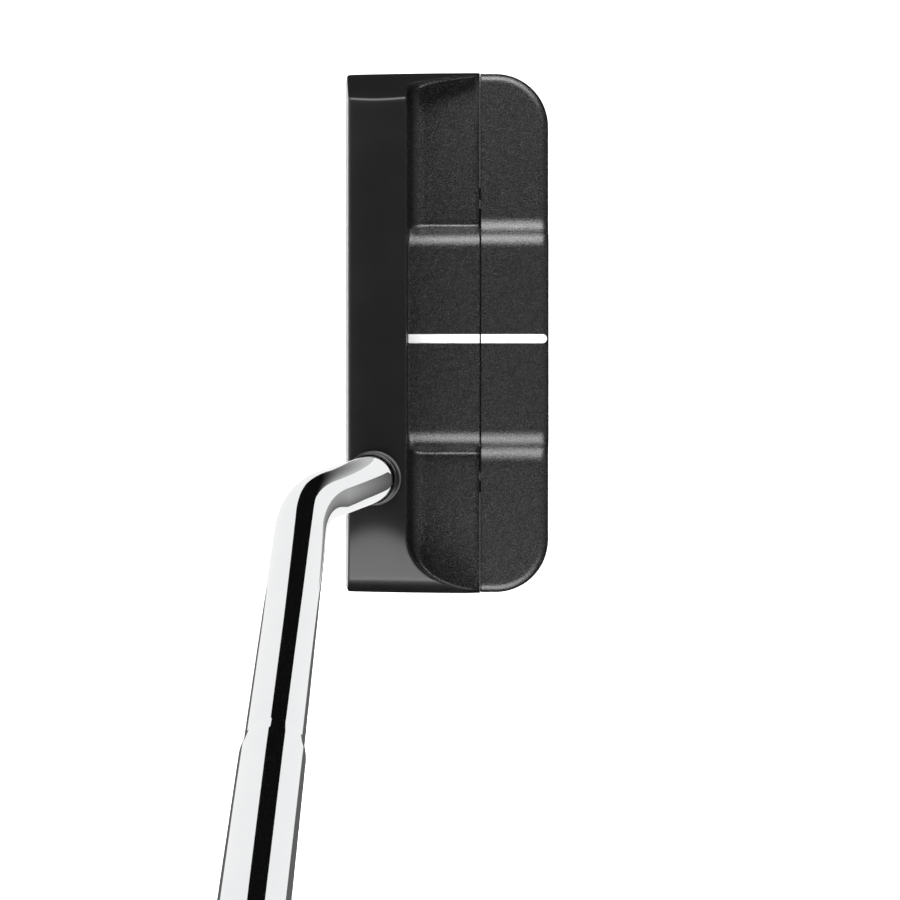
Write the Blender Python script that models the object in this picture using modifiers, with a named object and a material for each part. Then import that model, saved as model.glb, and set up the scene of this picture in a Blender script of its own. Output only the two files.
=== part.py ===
"""Right-handed mallet putter: a two-piece wide-blade head, a bent stepped shaft and a pistol grip.

The origin lies on the sole under the sight line. -Y is the way the face looks, -X the toe,
+X the heel and the player, +Z up. All sizes are in metres and all angles in degrees.
"""

import math

import bmesh
import bpy
from mathutils import Matrix, Vector

# Head, seen from above
TOE_REACH = 0.0538          # sight line to the toe
HEEL_REACH = 0.0512         # sight line to the heel
FRONT_Y = -0.0209           # leading edge of the face
BUMPER_DEPTH = 0.0128       # leading edge to the wall behind the topline
FRONT_FLANGE_DEPTH = 0.0147
REAR_FLANGE_DEPTH = 0.0138
REAR_CORNER_RADIUS = 0.0107
FRONT_CORNER_RADIUS = 0.0012
SIDE_TAPER = 0.0004         # each side is this much nearer the sight line at the face

# Head, seen from the side and the front
BUMPER_HEIGHT = 0.0242
LOFT = 3.0
CENTRE_PAD_HEIGHT = 0.0130
REAR_LEVEL = 0.0100
POCKET_LEVEL = 0.0085
PAD_HALF_WIDTH = 0.0183
POCKET_FOOT_X = 0.0229      # where the pad's slope meets the pocket floor
REAR_FOOT_X = 0.0242        # where it meets the rear flange
PAD_SINK = 0.0002           # the slope's foot runs this far below the flange's level
POCKET_FILLET = 0.0042
EDGE_RADIUS = 0.0014
SOLE_CHAMFER = 0.0024
TOE_RIM_INSET = 0.0063      # lean of the toe wall from the sole to the topline
HEEL_SLOPE_START = 0.0145   # from the heel, where the topline starts to fall
HEEL_SHOULDER_DROP = 0.0043
FLANGE_STEP = 0.0010        # the front piece's rim at the seam, above the rear flange

# Hand-shaped edges of the front piece
TOE_WALL = ((0, 0), (0.35, 0.0032), (0.67, 0.0068), (0.90, 0.0107), (1, 0.0142))   # share of the lean, drop
HEEL_EDGE = ((0, 0.0065), (0.0003, 0.0038), (0.0012, 0.0016), (0.0028, 0))   # inset, drop from the shoulder
SOLE_LEAD = (0.8, 0.7)      # the sole's front chamfer along Y and Z, as shares of the side one
# Behind the topline's front, drop
CROWN = ((0.0004, 0.0007), (0.0022, 0.0002), (0.0050, 0), (0.0080, 0.0002))
CROWN_EDGES = (0.0011, 0.0007)   # drop at the face and at the wall behind the topline
WALL_LIP = 0.0003
# Behind the wall, share of the fall
FENDER = ((0.0006, 0.13), (0.0021, 0.38), (0.0040, 0.59), (0.0065, 0.76), (0.0100, 0.90))
# Inset from the heel or the toe, behind the wall
HEEL_MOUTH = ((0.0016, 0.0090), (0.0031, 0.0048), (0.0058, 0.0020), (0.0092, 0.0004), (0.0126, 0))
TOE_MOUTH = ((0.0058, 0), (0.0043, 0.0007), (0.0032, 0.0023), (0.0020, 0.0062))
# Inset, before the seam; None runs out past the rear
HEEL_MOUTH_END = ((0.0006, None), (0.0010, 0.0011))
TOE_MOUTH_END = ((0.0007, 0.0006), (0.0005, None))
SEAM_FILLET_SHARE = 0.6     # the fillet at the seam, as a share of the pocket's
SEAM_LAND = 0.0004

# Gaps between pieces that touch
GAP = 0.0003
PAINT_GAP = 0.0001
BEYOND = 0.001              # how far a cutter runs past the surface that it opens

# Sight line
LINE_WIDTH = 0.00184
LINE_DEPTH = 0.0006
LINE_SETBACK = 0.0004       # from the rear edge
GROOVE_RISE = 0.001         # the groove's cutter above the pad

# Sole tongue of the rear flange, the membrane above it and what clamps them
TONGUE_HALF_WIDTH = 0.0270
TONGUE_REACH = 0.0201       # forward of the seam
TONGUE_THICKNESS = 0.0030
MEMBRANE_THICKNESS = 0.0006
SCREW_PLACES = ((-0.0210, -0.0161), (0.0210, -0.0161), (-0.0130, -0.0046), (0.0130, -0.0046))
SCREW_RADIUS = 0.0015
SCREW_HEAD_RADIUS = 0.0028
SCREW_HEAD_DEPTH = 0.0016
SCREW_LENGTH = 0.0088
SCREW_SOCKET = 0.0010
SCREW_CLEARANCE = 0.0003
SCREW_RIM = 0.0002          # straight rim of the countersunk head
SCREW_TIP_SHARE = 0.7       # the tip's radius as a share of the shank's
SOCKET_DEPTH_SHARE = 0.8    # of the head's depth, for screws and weights
DOWEL_X = 0.0298
DOWEL_RADIUS = 0.0012
DOWEL_LENGTH = 0.0080
DOWEL_HEIGHT = 0.0052
DOWEL_CLEARANCE = 0.0001

# Screw-in sole weights
WEIGHT_EDGE_DISTANCE = 0.0120   # from the toe or the heel to the weight's axis
WEIGHT_Y = -0.0040
WEIGHT_HEAD_RADIUS = 0.0070
WEIGHT_HEAD_DEPTH = 0.0016
WEIGHT_SHANK_RADIUS = 0.0055
WEIGHT_SHANK_LENGTH = 0.0046
WEIGHT_CLEARANCE = 0.00015
WEIGHT_RECESS = 0.0002
WEIGHT_PIN_HOLE_RADIUS = 0.0008
WEIGHT_PIN_HOLE_X = 0.0040
WEIGHT_CHAMFER = 0.0004
RING_THICKNESS = 0.0005
RING_WIDTH = 0.0010

# Hosel: a post on the topline that the shaft slips over
HOSEL_X = 0.0280
HOSEL_Y = -0.0147
HOSEL_LEAN_HEEL = 0.080     # sideways travel for each unit of height
HOSEL_LEAN_FORWARD = 0.226
COLLAR_RADIUS = 0.0054
COLLAR_HEIGHT = 0.0008
COLLAR_ROOT = 0.0040        # depth of the collar's turned root inside the topline
COLLAR_CHAMFER = 0.0005
COLLAR_TRIM = 0.0002        # the collar's front stays this far behind the face
POST_HEIGHT = 0.0200
POST_RADIUS = 0.0036
BOND_GAP = 0.00015
BOND_THICKNESS = 0.0003
FERRULE_THICKNESS = 0.0003
FERRULE_HEIGHT = 0.0010
FERRULE_SHOULDER = 0.7      # where its chamfer starts, as a share of its height

# Shaft
CLUB_LENGTH = 0.864
LIE = 70.0
FORWARD_PRESS = 0.17
BEND_HEIGHT = 0.0505        # above the topline
BEND_RADIUS = 0.090
SHAFT_TIP_RADIUS = 0.0047
SHAFT_BUTT_RADIUS = 0.00735
SHAFT_WALL = 0.0005
FIRST_STEP = 0.104          # above the bend
STEP_SPACING = 0.070
STEP_COUNT = 6
STEP_LENGTH = 0.0040
TIP_PLUG_LENGTH = 0.0080
TIP_PLUG_GAP = 0.0015       # from the post's top
BEND_STATIONS = 10

# Grip
GRIP_LENGTH = 0.267
GRIP_LOW_RADIUS = 0.0100
GRIP_TOP_RADIUS = 0.0134
GRIP_FLAT = 0.0092          # from the shaft's axis to the flat front
GRIP_BELLY = 0.0022
GRIP_STATIONS = 24
GRIP_SWELL = (0.25, 0.60)   # start and length of the taper, as shares of the grip
BELLY_SPOT = (0.80, 0.16)   # middle and half length of the belly, as shares of the grip
FLAT_TAPER = 0.0010         # the flat front is this much nearer the shaft at the low end
GRIP_SKIN = 0.0010          # the thinnest the grip's front is
GRIP_END_ROUND = (0.0012, 0.004)   # how much the low end narrows, and over what length
TAPE_SETBACK = 0.004
TAPE_THICKNESS = 0.0003
TAPE_GAP = 0.00015
CAP_THICKNESS = 0.0035
CAP_PLUG_LENGTH = 0.0120
CAP_RIM_INSET = 0.0040
CAP_CHAMFER = (0.0010, 0.0012)
VENT_RADIUS = 0.0012

# Worked out from the sizes above
WALL_Y = FRONT_Y + BUMPER_DEPTH
SEAM_Y = WALL_Y + FRONT_FLANGE_DEPTH
REAR_Y = SEAM_Y + REAR_FLANGE_DEPTH
TOPLINE_Y = FRONT_Y + BUMPER_HEIGHT * math.tan(math.radians(LOFT))   # front of the topline
RECESS_HEIGHT = TONGUE_THICKNESS + MEMBRANE_THICKNESS + 2 * GAP
SIDES = {"toe": -1, "heel": 1}
STEPS_ROUND = 40


def clear_scene():
    for old in list(bpy.data.objects):
        bpy.data.objects.remove(old, do_unlink=True)


def new_collection(name, helper=False):
    collection = bpy.data.collections.new(name)
    bpy.context.scene.collection.children.link(collection)
    collection.hide_render = helper
    return collection


def material(name, colour, roughness, metallic):
    made = bpy.data.materials.new(name)
    made.use_nodes = True
    made.diffuse_color = (*colour, 1.0)
    shader = made.node_tree.nodes["Principled BSDF"]
    shader.inputs["Base Color"].default_value = (*colour, 1.0)
    shader.inputs["Roughness"].default_value = roughness
    shader.inputs["Metallic"].default_value = metallic
    return made


clear_scene()
putter = new_collection("mallet_putter")
cutters = new_collection("cutters", helper=True)

black_paint = material("black_paint", (0.020, 0.020, 0.021), 0.42, 0.3)
black_anodised = material("black_anodised", (0.022, 0.022, 0.023), 0.45, 0.4)
white_paint = material("white_paint", (0.90, 0.90, 0.89), 0.45, 0.0)
chrome = material("chrome", (0.86, 0.87, 0.88), 0.04, 1.0)
steel = material("steel", (0.55, 0.56, 0.57), 0.30, 1.0)
black_plastic = material("black_plastic", (0.015, 0.015, 0.015), 0.35, 0.0)
black_rubber = material("black_rubber", (0.022, 0.022, 0.022), 0.75, 0.0)
cured_epoxy = material("cured_epoxy", (0.55, 0.50, 0.38), 0.40, 0.0)
adhesive_tape = material("adhesive_tape", (0.72, 0.66, 0.50), 0.80, 0.0)
cork = material("cork", (0.52, 0.36, 0.22), 0.90, 0.0)


def link(obj, finish=None):
    """A piece goes in the putter's collection with its finish, a cutter in the other, out of the render."""
    if finish:
        obj.data.materials.clear()
        obj.data.materials.append(finish)
        putter.objects.link(obj)
    else:
        obj.hide_render = True
        obj.display_type = "WIRE"
        cutters.objects.link(obj)
    return obj


def smooth(mesh, angle=30.0):
    mesh.shade_smooth()
    mesh.set_sharp_from_angle(angle=math.radians(angle))


def meshed(source, name, finish=None):
    """The evaluated shape of a curve or a modifier stack as a plain mesh object; the source is removed."""
    bpy.context.scene.collection.objects.link(source)
    bpy.context.view_layer.update()
    graph = bpy.context.evaluated_depsgraph_get()
    mesh = bpy.data.meshes.new_from_object(source.evaluated_get(graph))
    matrix = source.matrix_world.copy()
    bpy.data.objects.remove(source, do_unlink=True)
    work = bmesh.new()
    work.from_mesh(mesh)
    bmesh.ops.remove_doubles(work, verts=work.verts, dist=1e-6)
    bmesh.ops.recalc_face_normals(work, faces=work.faces)
    work.to_mesh(mesh)
    work.free()
    mesh.name = name
    made = bpy.data.objects.new(name, mesh)
    made.matrix_world = matrix
    return link(made, finish)


def arc(centre, radius, first, last, count):
    """Points round a circle from one angle to another, both ends included."""
    angles = [math.radians(first + (last - first) * i / count) for i in range(count + 1)]
    return [(centre[0] + radius * math.cos(a), centre[1] + radius * math.sin(a)) for a in angles]


PLANES = {
    "XY": Matrix.Identity(4),
    "XZ": Matrix(((1, 0, 0, 0), (0, 0, -1, 0), (0, 1, 0, 0), (0, 0, 0, 1))),
    "YZ": Matrix(((0, 0, 1, 0), (1, 0, 0, 0), (0, 1, 0, 0), (0, 0, 0, 1))),
}
NORMALS = {"XY": Vector((0, 0, 1)), "XZ": Vector((0, 1, 0)), "YZ": Vector((1, 0, 0))}


def prism(name, outline, plane, low, high, finish=None, round_edge=0.0):
    """An outline in one plane, carried along that plane's normal from low to high."""
    curve = bpy.data.curves.new(name, "CURVE")
    curve.dimensions = "2D"
    curve.fill_mode = "BOTH"
    curve.extrude = (high - low) / 2 - round_edge
    curve.bevel_depth = round_edge
    curve.bevel_resolution = 2
    curve.offset = -round_edge
    spline = curve.splines.new("POLY")
    spline.points.add(len(outline) - 1)
    for point, (u, v) in zip(spline.points, outline):
        point.co = (u, v, 0, 1)
    spline.use_cyclic_u = True
    source = bpy.data.objects.new(name, curve)
    source.matrix_world = Matrix.Translation(NORMALS[plane] * (low + high) / 2) @ PLANES[plane]
    return meshed(source, name, finish)


def turned(name, profile, place, finish=None, steps=STEPS_ROUND):
    """A profile of (radius, height) points turned round Z and put at a place, a matrix.

    A profile that ends off the axis is closed into a ring.
    """
    mesh = bpy.data.meshes.new(name)
    edges = [(i, i + 1) for i in range(len(profile) - 1)]
    if profile[0][0] > 0:
        edges.append((len(profile) - 1, 0))
    mesh.from_pydata([(r, 0, z) for r, z in profile], edges, [])
    source = bpy.data.objects.new(name, mesh)
    screw = source.modifiers.new("turn", "SCREW")
    screw.axis = "Z"
    screw.steps = steps
    screw.render_steps = steps
    screw.use_merge_vertices = True
    screw.merge_threshold = 1e-6
    made = meshed(source, name, finish)
    made.matrix_world = place
    smooth(made.data)
    return made


def boolean(target, cutter, operation="DIFFERENCE"):
    cut = target.modifiers.new(cutter.name, "BOOLEAN")
    cut.object = cutter
    cut.operation = operation
    cut.solver = "EXACT"


def rod(radius, low, high):
    """Profile of a plain cylinder, top to bottom."""
    return [(0, high), (radius, high), (radius, low), (0, low)]


def tube(inner, outer, low, high):
    """Profile of a plain ring, down its outer side and up its bore."""
    return [(inner, high), (outer, high), (outer, low), (inner, low)]


# --- Head -----------------------------------------------------------------------------------------


def side_line(reach, count=6):
    """The heel side of the plan from the front corner to the rear one, easing out to its full reach."""
    first = FRONT_Y + FRONT_CORNER_RADIUS
    last = REAR_Y - REAR_CORNER_RADIUS
    shares = [i / count for i in range(1, count)]
    return [(reach - SIDE_TAPER * (1 - t) ** 2, first + (last - first) * t) for t in shares]


def half_plan(reach):
    """The heel half of the head's outline from above, from the middle of the face to the rear's."""
    front = FRONT_CORNER_RADIUS
    rear = REAR_CORNER_RADIUS
    return (
        arc((reach - SIDE_TAPER - front, FRONT_Y + front), front, -90, 0, 3)
        + side_line(reach)
        + arc((reach - rear, REAR_Y - rear), rear, 0, 90, 10)
    )


def head_plan():
    """The head's outline from above; the toe half is the mirror image of a heel half of its own reach."""
    return half_plan(HEEL_REACH) + [(-x, y) for x, y in reversed(half_plan(TOE_REACH))]


def head_from_front():
    """The front piece's outline in X and Z: leaning toe wall, flat topline, falling heel shoulder."""
    top = BUMPER_HEIGHT
    rim = TOE_REACH - TOE_RIM_INSET
    shoulder = top - HEEL_SHOULDER_DROP
    toe_wall = [(-rim - share * TOE_RIM_INSET, top - drop) for share, drop in TOE_WALL]
    sole = [
        (-TOE_REACH, SOLE_CHAMFER),
        (-TOE_REACH + SOLE_CHAMFER, 0),
        (HEEL_REACH - SOLE_CHAMFER, 0),
        (HEEL_REACH, SOLE_CHAMFER),
    ]
    heel_wall = [(HEEL_REACH - inset, shoulder - drop) for inset, drop in HEEL_EDGE]
    return toe_wall + sole + heel_wall + [(HEEL_REACH - HEEL_SLOPE_START, top)]


def face_y(height):
    return FRONT_Y + height * math.tan(math.radians(LOFT))


def head_from_side():
    """The front piece's outline in Y and Z: face, crowned topline, then the rim that falls to the seam."""
    top = BUMPER_HEIGHT
    fall = top - REAR_LEVEL - FLANGE_STEP
    lead_y, lead_z = (SOLE_CHAMFER * share for share in SOLE_LEAD)
    face_drop, wall_drop = CROWN_EDGES
    front = [(FRONT_Y + lead_y, 0), (face_y(lead_z), lead_z), (face_y(top - face_drop), top - face_drop)]
    crown = [(TOPLINE_Y + back, top - drop) for back, drop in CROWN]
    fender = [(WALL_Y + back, top - share * fall) for back, share in FENDER]
    seam = SEAM_Y - GAP / 2
    return front + crown + [(WALL_Y - WALL_LIP, top - wall_drop)] + fender + [(seam, top - fall), (seam, 0)]


def pocket_mouth():
    """What the milled recess behind the topline takes away, from above: straight wall, round ends."""
    heel_end = [(HEEL_REACH - x, REAR_Y if y is None else SEAM_Y - y) for x, y in HEEL_MOUTH_END]
    heel = [(HEEL_REACH - x, WALL_Y + y) for x, y in HEEL_MOUTH]
    toe = [(-TOE_REACH + x, WALL_Y + y) for x, y in TOE_MOUTH]
    toe_end = [(-TOE_REACH + x, REAR_Y if y is None else SEAM_Y - y) for x, y in TOE_MOUTH_END]
    return heel_end + heel + toe + toe_end


def pad_slope(foot_x, foot_z, count=6):
    """The S-shaped slope from the centre pad down to a foot, as (distance from the sight line, height)."""
    run = foot_x - PAD_HALF_WIDTH
    drop = CENTRE_PAD_HEIGHT - foot_z
    shares = [i / count for i in range(count + 1)]
    return [
        (PAD_HALF_WIDTH + run * t, CENTRE_PAD_HEIGHT - drop * (0.5 - 0.5 * math.cos(math.pi * t)))
        for t in shares
    ]


def trough_section():
    """The outer pockets in Y and Z: a fillet from the topline's wall, a floor, a fillet up to the seam."""
    high = BUMPER_HEIGHT + 2 * BEYOND
    near = arc((WALL_Y + POCKET_FILLET, POCKET_LEVEL + POCKET_FILLET), POCKET_FILLET, 180, 270, 6)
    radius = POCKET_FILLET * SEAM_FILLET_SHARE
    far = arc((SEAM_Y - SEAM_LAND - radius, POCKET_LEVEL + radius), radius, 270, 330, 4)
    past = SEAM_Y + 2 * BEYOND
    return [(WALL_Y, high)] + near + far + [(past, far[-1][1] + SEAM_LAND), (past, high)]


def hosel_direction():
    return Vector((HOSEL_LEAN_HEEL, -HOSEL_LEAN_FORWARD, 1)).normalized()


def along_hosel(distance):
    """A place on the hosel's axis, so far above the topline, with Z along the axis."""
    start = Vector((HOSEL_X, HOSEL_Y, BUMPER_HEIGHT))
    turn = hosel_direction().to_track_quat("Z", "Y").to_matrix().to_4x4()
    return Matrix.Translation(start + hosel_direction() * distance) @ turn


def weight_place(side):
    reach = HEEL_REACH if side > 0 else TOE_REACH
    return Matrix.Translation((side * (reach - WEIGHT_EDGE_DISTANCE), WEIGHT_Y, 0))


def screw_place(index):
    x, from_seam = SCREW_PLACES[index]
    return Matrix.Translation((x, SEAM_Y + from_seam, 0))


def dowel_place(side):
    turn = Matrix.Rotation(math.radians(90), 4, "X")
    return Matrix.Translation((side * DOWEL_X, SEAM_Y, DOWEL_HEIGHT)) @ turn


def line_bar(name, low, high, round_end, finish=None):
    """The sight line's paint, or with no finish the wider and deeper groove for it, as a bar along Y."""
    extra = 0 if finish else PAINT_GAP
    half = LINE_WIDTH / 2 + extra
    end = arc((0, high - half), half, 0, 180, 8) if round_end else [(half, high), (-half, high)]
    top = CENTRE_PAD_HEIGHT + (0 if finish else GROOVE_RISE)
    outline = [(-half, low), (half, low)] + end
    return prism(name, outline, "XY", CENTRE_PAD_HEIGHT - LINE_DEPTH - extra, top, finish)


def make_head_body():
    body = prism("head_body", head_plan(), "XY", 0, BUMPER_HEIGHT + BEYOND, black_paint)
    wide = TOE_REACH + HEEL_REACH
    boolean(body, prism("front_view", head_from_front(), "XZ", FRONT_Y * 2, REAR_Y * 2), "INTERSECT")
    boolean(body, prism("side_view", head_from_side(), "YZ", -wide, wide), "INTERSECT")
    high = BUMPER_HEIGHT + 2 * BEYOND
    boolean(body, prism("pocket_mouth", pocket_mouth(), "XY", CENTRE_PAD_HEIGHT, high))
    for side_name, side in SIDES.items():
        slope = [(side * x, z) for x, z in pad_slope(POCKET_FOOT_X, POCKET_LEVEL)]
        far = side * (HEEL_REACH if side > 0 else TOE_REACH)
        outline = slope + [(far, POCKET_LEVEL), (far, high), (side * PAD_HALF_WIDTH, high)]
        trough = prism(f"{side_name}_pocket", outline, "XZ", WALL_Y - BEYOND, SEAM_Y + BEYOND)
        boolean(trough, prism(f"{side_name}_trough", trough_section(), "YZ", -wide, wide), "INTERSECT")
        mouth = prism(f"{side_name}_mouth", pocket_mouth(), "XY", 0, high + BEYOND)
        boolean(trough, mouth, "INTERSECT")
        boolean(body, trough)
    collar = turned("collar", collar_profile(), along_hosel(0))
    trim = prism("face_trim", head_from_side_trim(), "YZ", -wide, wide)
    boolean(collar, trim, "INTERSECT")
    boolean(body, collar, "UNION")
    half = TONGUE_HALF_WIDTH + GAP
    front = SEAM_Y - TONGUE_REACH - GAP
    past = SEAM_Y + BEYOND
    recess = [(-half, front), (half, front), (half, past), (-half, past)]
    boolean(body, prism("tongue_recess", recess, "XY", -BEYOND, RECESS_HEIGHT))
    for index in range(len(SCREW_PLACES)):
        radius = SCREW_RADIUS + SCREW_CLEARANCE
        hole = rod(radius, RECESS_HEIGHT - BEYOND, SCREW_LENGTH + WEIGHT_RECESS + GAP)
        boolean(body, turned(f"screw_hole_{index + 1}", hole, screw_place(index), steps=20))
    for side_name, side in SIDES.items():
        boolean(body, turned(f"{side_name}_weight_socket", weight_socket(), weight_place(side)))
        boolean(body, turned(f"{side_name}_dowel_hole", dowel_hole(), dowel_place(side), steps=16))
    boolean(body, line_bar("front_groove", WALL_Y + PAINT_GAP, SEAM_Y + GAP, round_end=False))
    return body


def collar_profile():
    """Collar and post on the hosel's axis, from the post's top down to well inside the topline."""
    chamfer = COLLAR_CHAMFER
    return [
        (0, COLLAR_HEIGHT + POST_HEIGHT),
        (POST_RADIUS - chamfer, COLLAR_HEIGHT + POST_HEIGHT),
        (POST_RADIUS, COLLAR_HEIGHT + POST_HEIGHT - chamfer),
        (POST_RADIUS, COLLAR_HEIGHT),
        (COLLAR_RADIUS - chamfer, COLLAR_HEIGHT),
        (COLLAR_RADIUS, COLLAR_HEIGHT - chamfer),
        (COLLAR_RADIUS, -COLLAR_ROOT),
        (0, -COLLAR_ROOT),
    ]


def head_from_side_trim():
    """Everything behind the face's plane, above the topline too, so that the collar ends flush with it."""
    high = BUMPER_HEIGHT + POST_HEIGHT * 2
    cut = BUMPER_HEIGHT + 2 * COLLAR_HEIGHT + HOSEL_LEAN_FORWARD * COLLAR_RADIUS
    return [
        (face_y(0) + COLLAR_TRIM, 0),
        (face_y(cut) + COLLAR_TRIM, cut),
        (FRONT_Y * 3, cut),
        (FRONT_Y * 3, high),
        (REAR_Y, high),
        (REAR_Y, 0),
    ]


def weight_socket():
    """The counterbore for a weight's head and its ring, and the hole for its shank, open at the sole."""
    clear = WEIGHT_CLEARANCE
    shoulder = WEIGHT_RECESS + WEIGHT_HEAD_DEPTH + 2 * GAP + RING_THICKNESS
    deep = shoulder - GAP + WEIGHT_SHANK_LENGTH
    return [
        (0, deep),
        (WEIGHT_SHANK_RADIUS + clear, deep),
        (WEIGHT_SHANK_RADIUS + clear, shoulder),
        (WEIGHT_HEAD_RADIUS + clear, shoulder),
        (WEIGHT_HEAD_RADIUS + clear, -BEYOND),
        (0, -BEYOND),
    ]


def dowel_hole():
    reach = DOWEL_LENGTH / 2 + GAP
    return rod(DOWEL_RADIUS + DOWEL_CLEARANCE, -reach, reach)


def make_rear_flange():
    """The rear part: a slab with rounded edges, the centre pad on it and the tongue under the front part."""
    slab = prism("rear_flange", head_plan(), "XY", 0, REAR_LEVEL, black_anodised, EDGE_RADIUS)
    wide = TOE_REACH + HEEL_REACH
    start = SEAM_Y + GAP / 2
    past = REAR_Y + BEYOND
    keep = [(start, -BEYOND), (past, -BEYOND), (past, BUMPER_HEIGHT), (start, BUMPER_HEIGHT)]
    boolean(slab, prism("behind_seam", keep, "YZ", -wide, wide), "INTERSECT")
    slope = pad_slope(REAR_FOOT_X, REAR_LEVEL - PAD_SINK)
    low = REAR_LEVEL / 2
    outline = slope + [(REAR_FOOT_X, low), (-REAR_FOOT_X, low)] + [(-x, z) for x, z in reversed(slope)]
    pad = prism("centre_pad", outline, "XZ", start, REAR_Y)
    corner = (REAR_Y - EDGE_RADIUS, CENTRE_PAD_HEIGHT - EDGE_RADIUS)
    profile = [(start, low), (REAR_Y, low)] + arc(corner, EDGE_RADIUS, 0, 90, 4)
    profile.append((start, CENTRE_PAD_HEIGHT))
    boolean(pad, prism("pad_round", profile, "YZ", -wide, wide), "INTERSECT")
    boolean(slab, pad, "UNION")
    half = TONGUE_HALF_WIDTH
    front = SEAM_Y - TONGUE_REACH
    root = start + 2 * BEYOND
    tongue = [(-half, front), (half, front), (half, root), (-half, root)]
    boolean(slab, prism("tongue", tongue, "XY", 0, TONGUE_THICKNESS), "UNION")
    for index in range(len(SCREW_PLACES)):
        hole = turned(f"countersink_{index + 1}", countersink(), screw_place(index), steps=20)
        boolean(slab, hole)
    for side_name, side in SIDES.items():
        hole = turned(f"{side_name}_rear_dowel_hole", dowel_hole(), dowel_place(side), steps=16)
        boolean(slab, hole)
    end = REAR_Y - LINE_SETBACK + PAINT_GAP
    boolean(slab, line_bar("rear_groove", SEAM_Y - GAP, end, round_end=True))
    return slab


def countersink():
    clear = SCREW_CLEARANCE
    wide = SCREW_HEAD_RADIUS + clear
    narrow = SCREW_RADIUS + clear
    return [
        (0, TONGUE_THICKNESS + BEYOND),
        (narrow, TONGUE_THICKNESS + BEYOND),
        (narrow, WEIGHT_RECESS + SCREW_HEAD_DEPTH),
        (wide, WEIGHT_RECESS),
        (wide, -BEYOND),
        (0, -BEYOND),
    ]


def make_membrane():
    half = TONGUE_HALF_WIDTH - GAP
    front = SEAM_Y - TONGUE_REACH + GAP
    back = SEAM_Y - GAP
    outline = [(-half, front), (half, front), (half, back), (-half, back)]
    low = TONGUE_THICKNESS + GAP
    sheet = prism("damping_membrane", outline, "XY", low, low + MEMBRANE_THICKNESS, black_rubber)
    for index in range(len(SCREW_PLACES)):
        hole = rod(SCREW_RADIUS + SCREW_CLEARANCE, low - BEYOND, low + MEMBRANE_THICKNESS + BEYOND)
        cutter = turned(f"membrane_hole_{index + 1}", hole, screw_place(index), steps=20)
        boolean(sheet, cutter)


def make_sole_screws():
    low = WEIGHT_RECESS
    profile = [
        (0, low + SCREW_LENGTH),
        (SCREW_RADIUS * SCREW_TIP_SHARE, low + SCREW_LENGTH),
        (SCREW_RADIUS, low + SCREW_LENGTH - SCREW_RADIUS * (1 - SCREW_TIP_SHARE)),
        (SCREW_RADIUS, low + SCREW_HEAD_DEPTH),
        (SCREW_HEAD_RADIUS, low + SCREW_RIM),
        (SCREW_HEAD_RADIUS, low),
        (0, low),
    ]
    for index in range(len(SCREW_PLACES)):
        screw = turned(f"sole_screw_{index + 1}", profile, screw_place(index), steel, steps=24)
        key = rod(SCREW_SOCKET, low - BEYOND, low + SCREW_HEAD_DEPTH * SOCKET_DEPTH_SHARE)
        boolean(screw, turned(f"key_socket_{index + 1}", key, screw_place(index), steps=6))


def make_dowels():
    profile = rod(DOWEL_RADIUS, -DOWEL_LENGTH / 2, DOWEL_LENGTH / 2)
    for side_name, side in SIDES.items():
        turned(f"{side_name}_dowel_pin", profile, dowel_place(side), steel, steps=16)


def make_weights():
    low = WEIGHT_RECESS
    shoulder = low + WEIGHT_HEAD_DEPTH
    top = shoulder + GAP + RING_THICKNESS + WEIGHT_SHANK_LENGTH - GAP
    chamfer = WEIGHT_CHAMFER
    profile = [
        (0, top),
        (WEIGHT_SHANK_RADIUS - chamfer, top),
        (WEIGHT_SHANK_RADIUS, top - chamfer),
        (WEIGHT_SHANK_RADIUS, shoulder),
        (WEIGHT_HEAD_RADIUS, shoulder),
        (WEIGHT_HEAD_RADIUS, low + chamfer),
        (WEIGHT_HEAD_RADIUS - chamfer, low),
        (0, low),
    ]
    ring_low = shoulder + GAP
    inner = WEIGHT_SHANK_RADIUS + WEIGHT_CLEARANCE
    ring = tube(inner, inner + RING_WIDTH, ring_low, ring_low + RING_THICKNESS)
    pin_hole = rod(WEIGHT_PIN_HOLE_RADIUS, low - BEYOND, low + WEIGHT_HEAD_DEPTH * SOCKET_DEPTH_SHARE)
    for side_name, side in SIDES.items():
        place = weight_place(side)
        weight = turned(f"{side_name}_weight", profile, place, steel)
        for number, offset in enumerate((-WEIGHT_PIN_HOLE_X, WEIGHT_PIN_HOLE_X)):
            hole_place = place @ Matrix.Translation((offset, 0, 0))
            hole = turned(f"{side_name}_pin_hole_{number + 1}", pin_hole, hole_place, steps=12)
            boolean(weight, hole)
        turned(f"{side_name}_weight_ring", ring, place, black_rubber)


def make_sight_line():
    front = WALL_Y + 2 * PAINT_GAP
    line_bar("sight_line_front", front, SEAM_Y - GAP / 2, round_end=False, finish=white_paint)
    end = REAR_Y - LINE_SETBACK
    line_bar("sight_line_rear", SEAM_Y + GAP / 2, end, round_end=True, finish=white_paint)


# --- Shaft and its joint to the head --------------------------------------------------------------


def main_direction():
    lie = math.radians(LIE)
    press = math.sin(math.radians(FORWARD_PRESS))
    return Vector((math.cos(lie), -press, math.sin(lie))).normalized()


def bend_point():
    start = Vector((HOSEL_X, HOSEL_Y, BUMPER_HEIGHT))
    return start + hosel_direction() * BEND_HEIGHT / hosel_direction().z


def butt_distance():
    """From the bend to the shaft's top, with the club's length measured along the shaft from the sole."""
    up = main_direction()
    return CLUB_LENGTH - bend_point().z / up.z


def along_shaft(distance):
    """A place on the shaft's main axis, so far above the bend, X to the flat front of the grip."""
    up = main_direction()
    side = Vector((0, 1, 0)).cross(up).normalized()
    front = -side
    across = up.cross(front)
    turn = Matrix((front, across, up)).transposed().to_4x4()
    return Matrix.Translation(bend_point() + up * distance) @ turn


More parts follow.
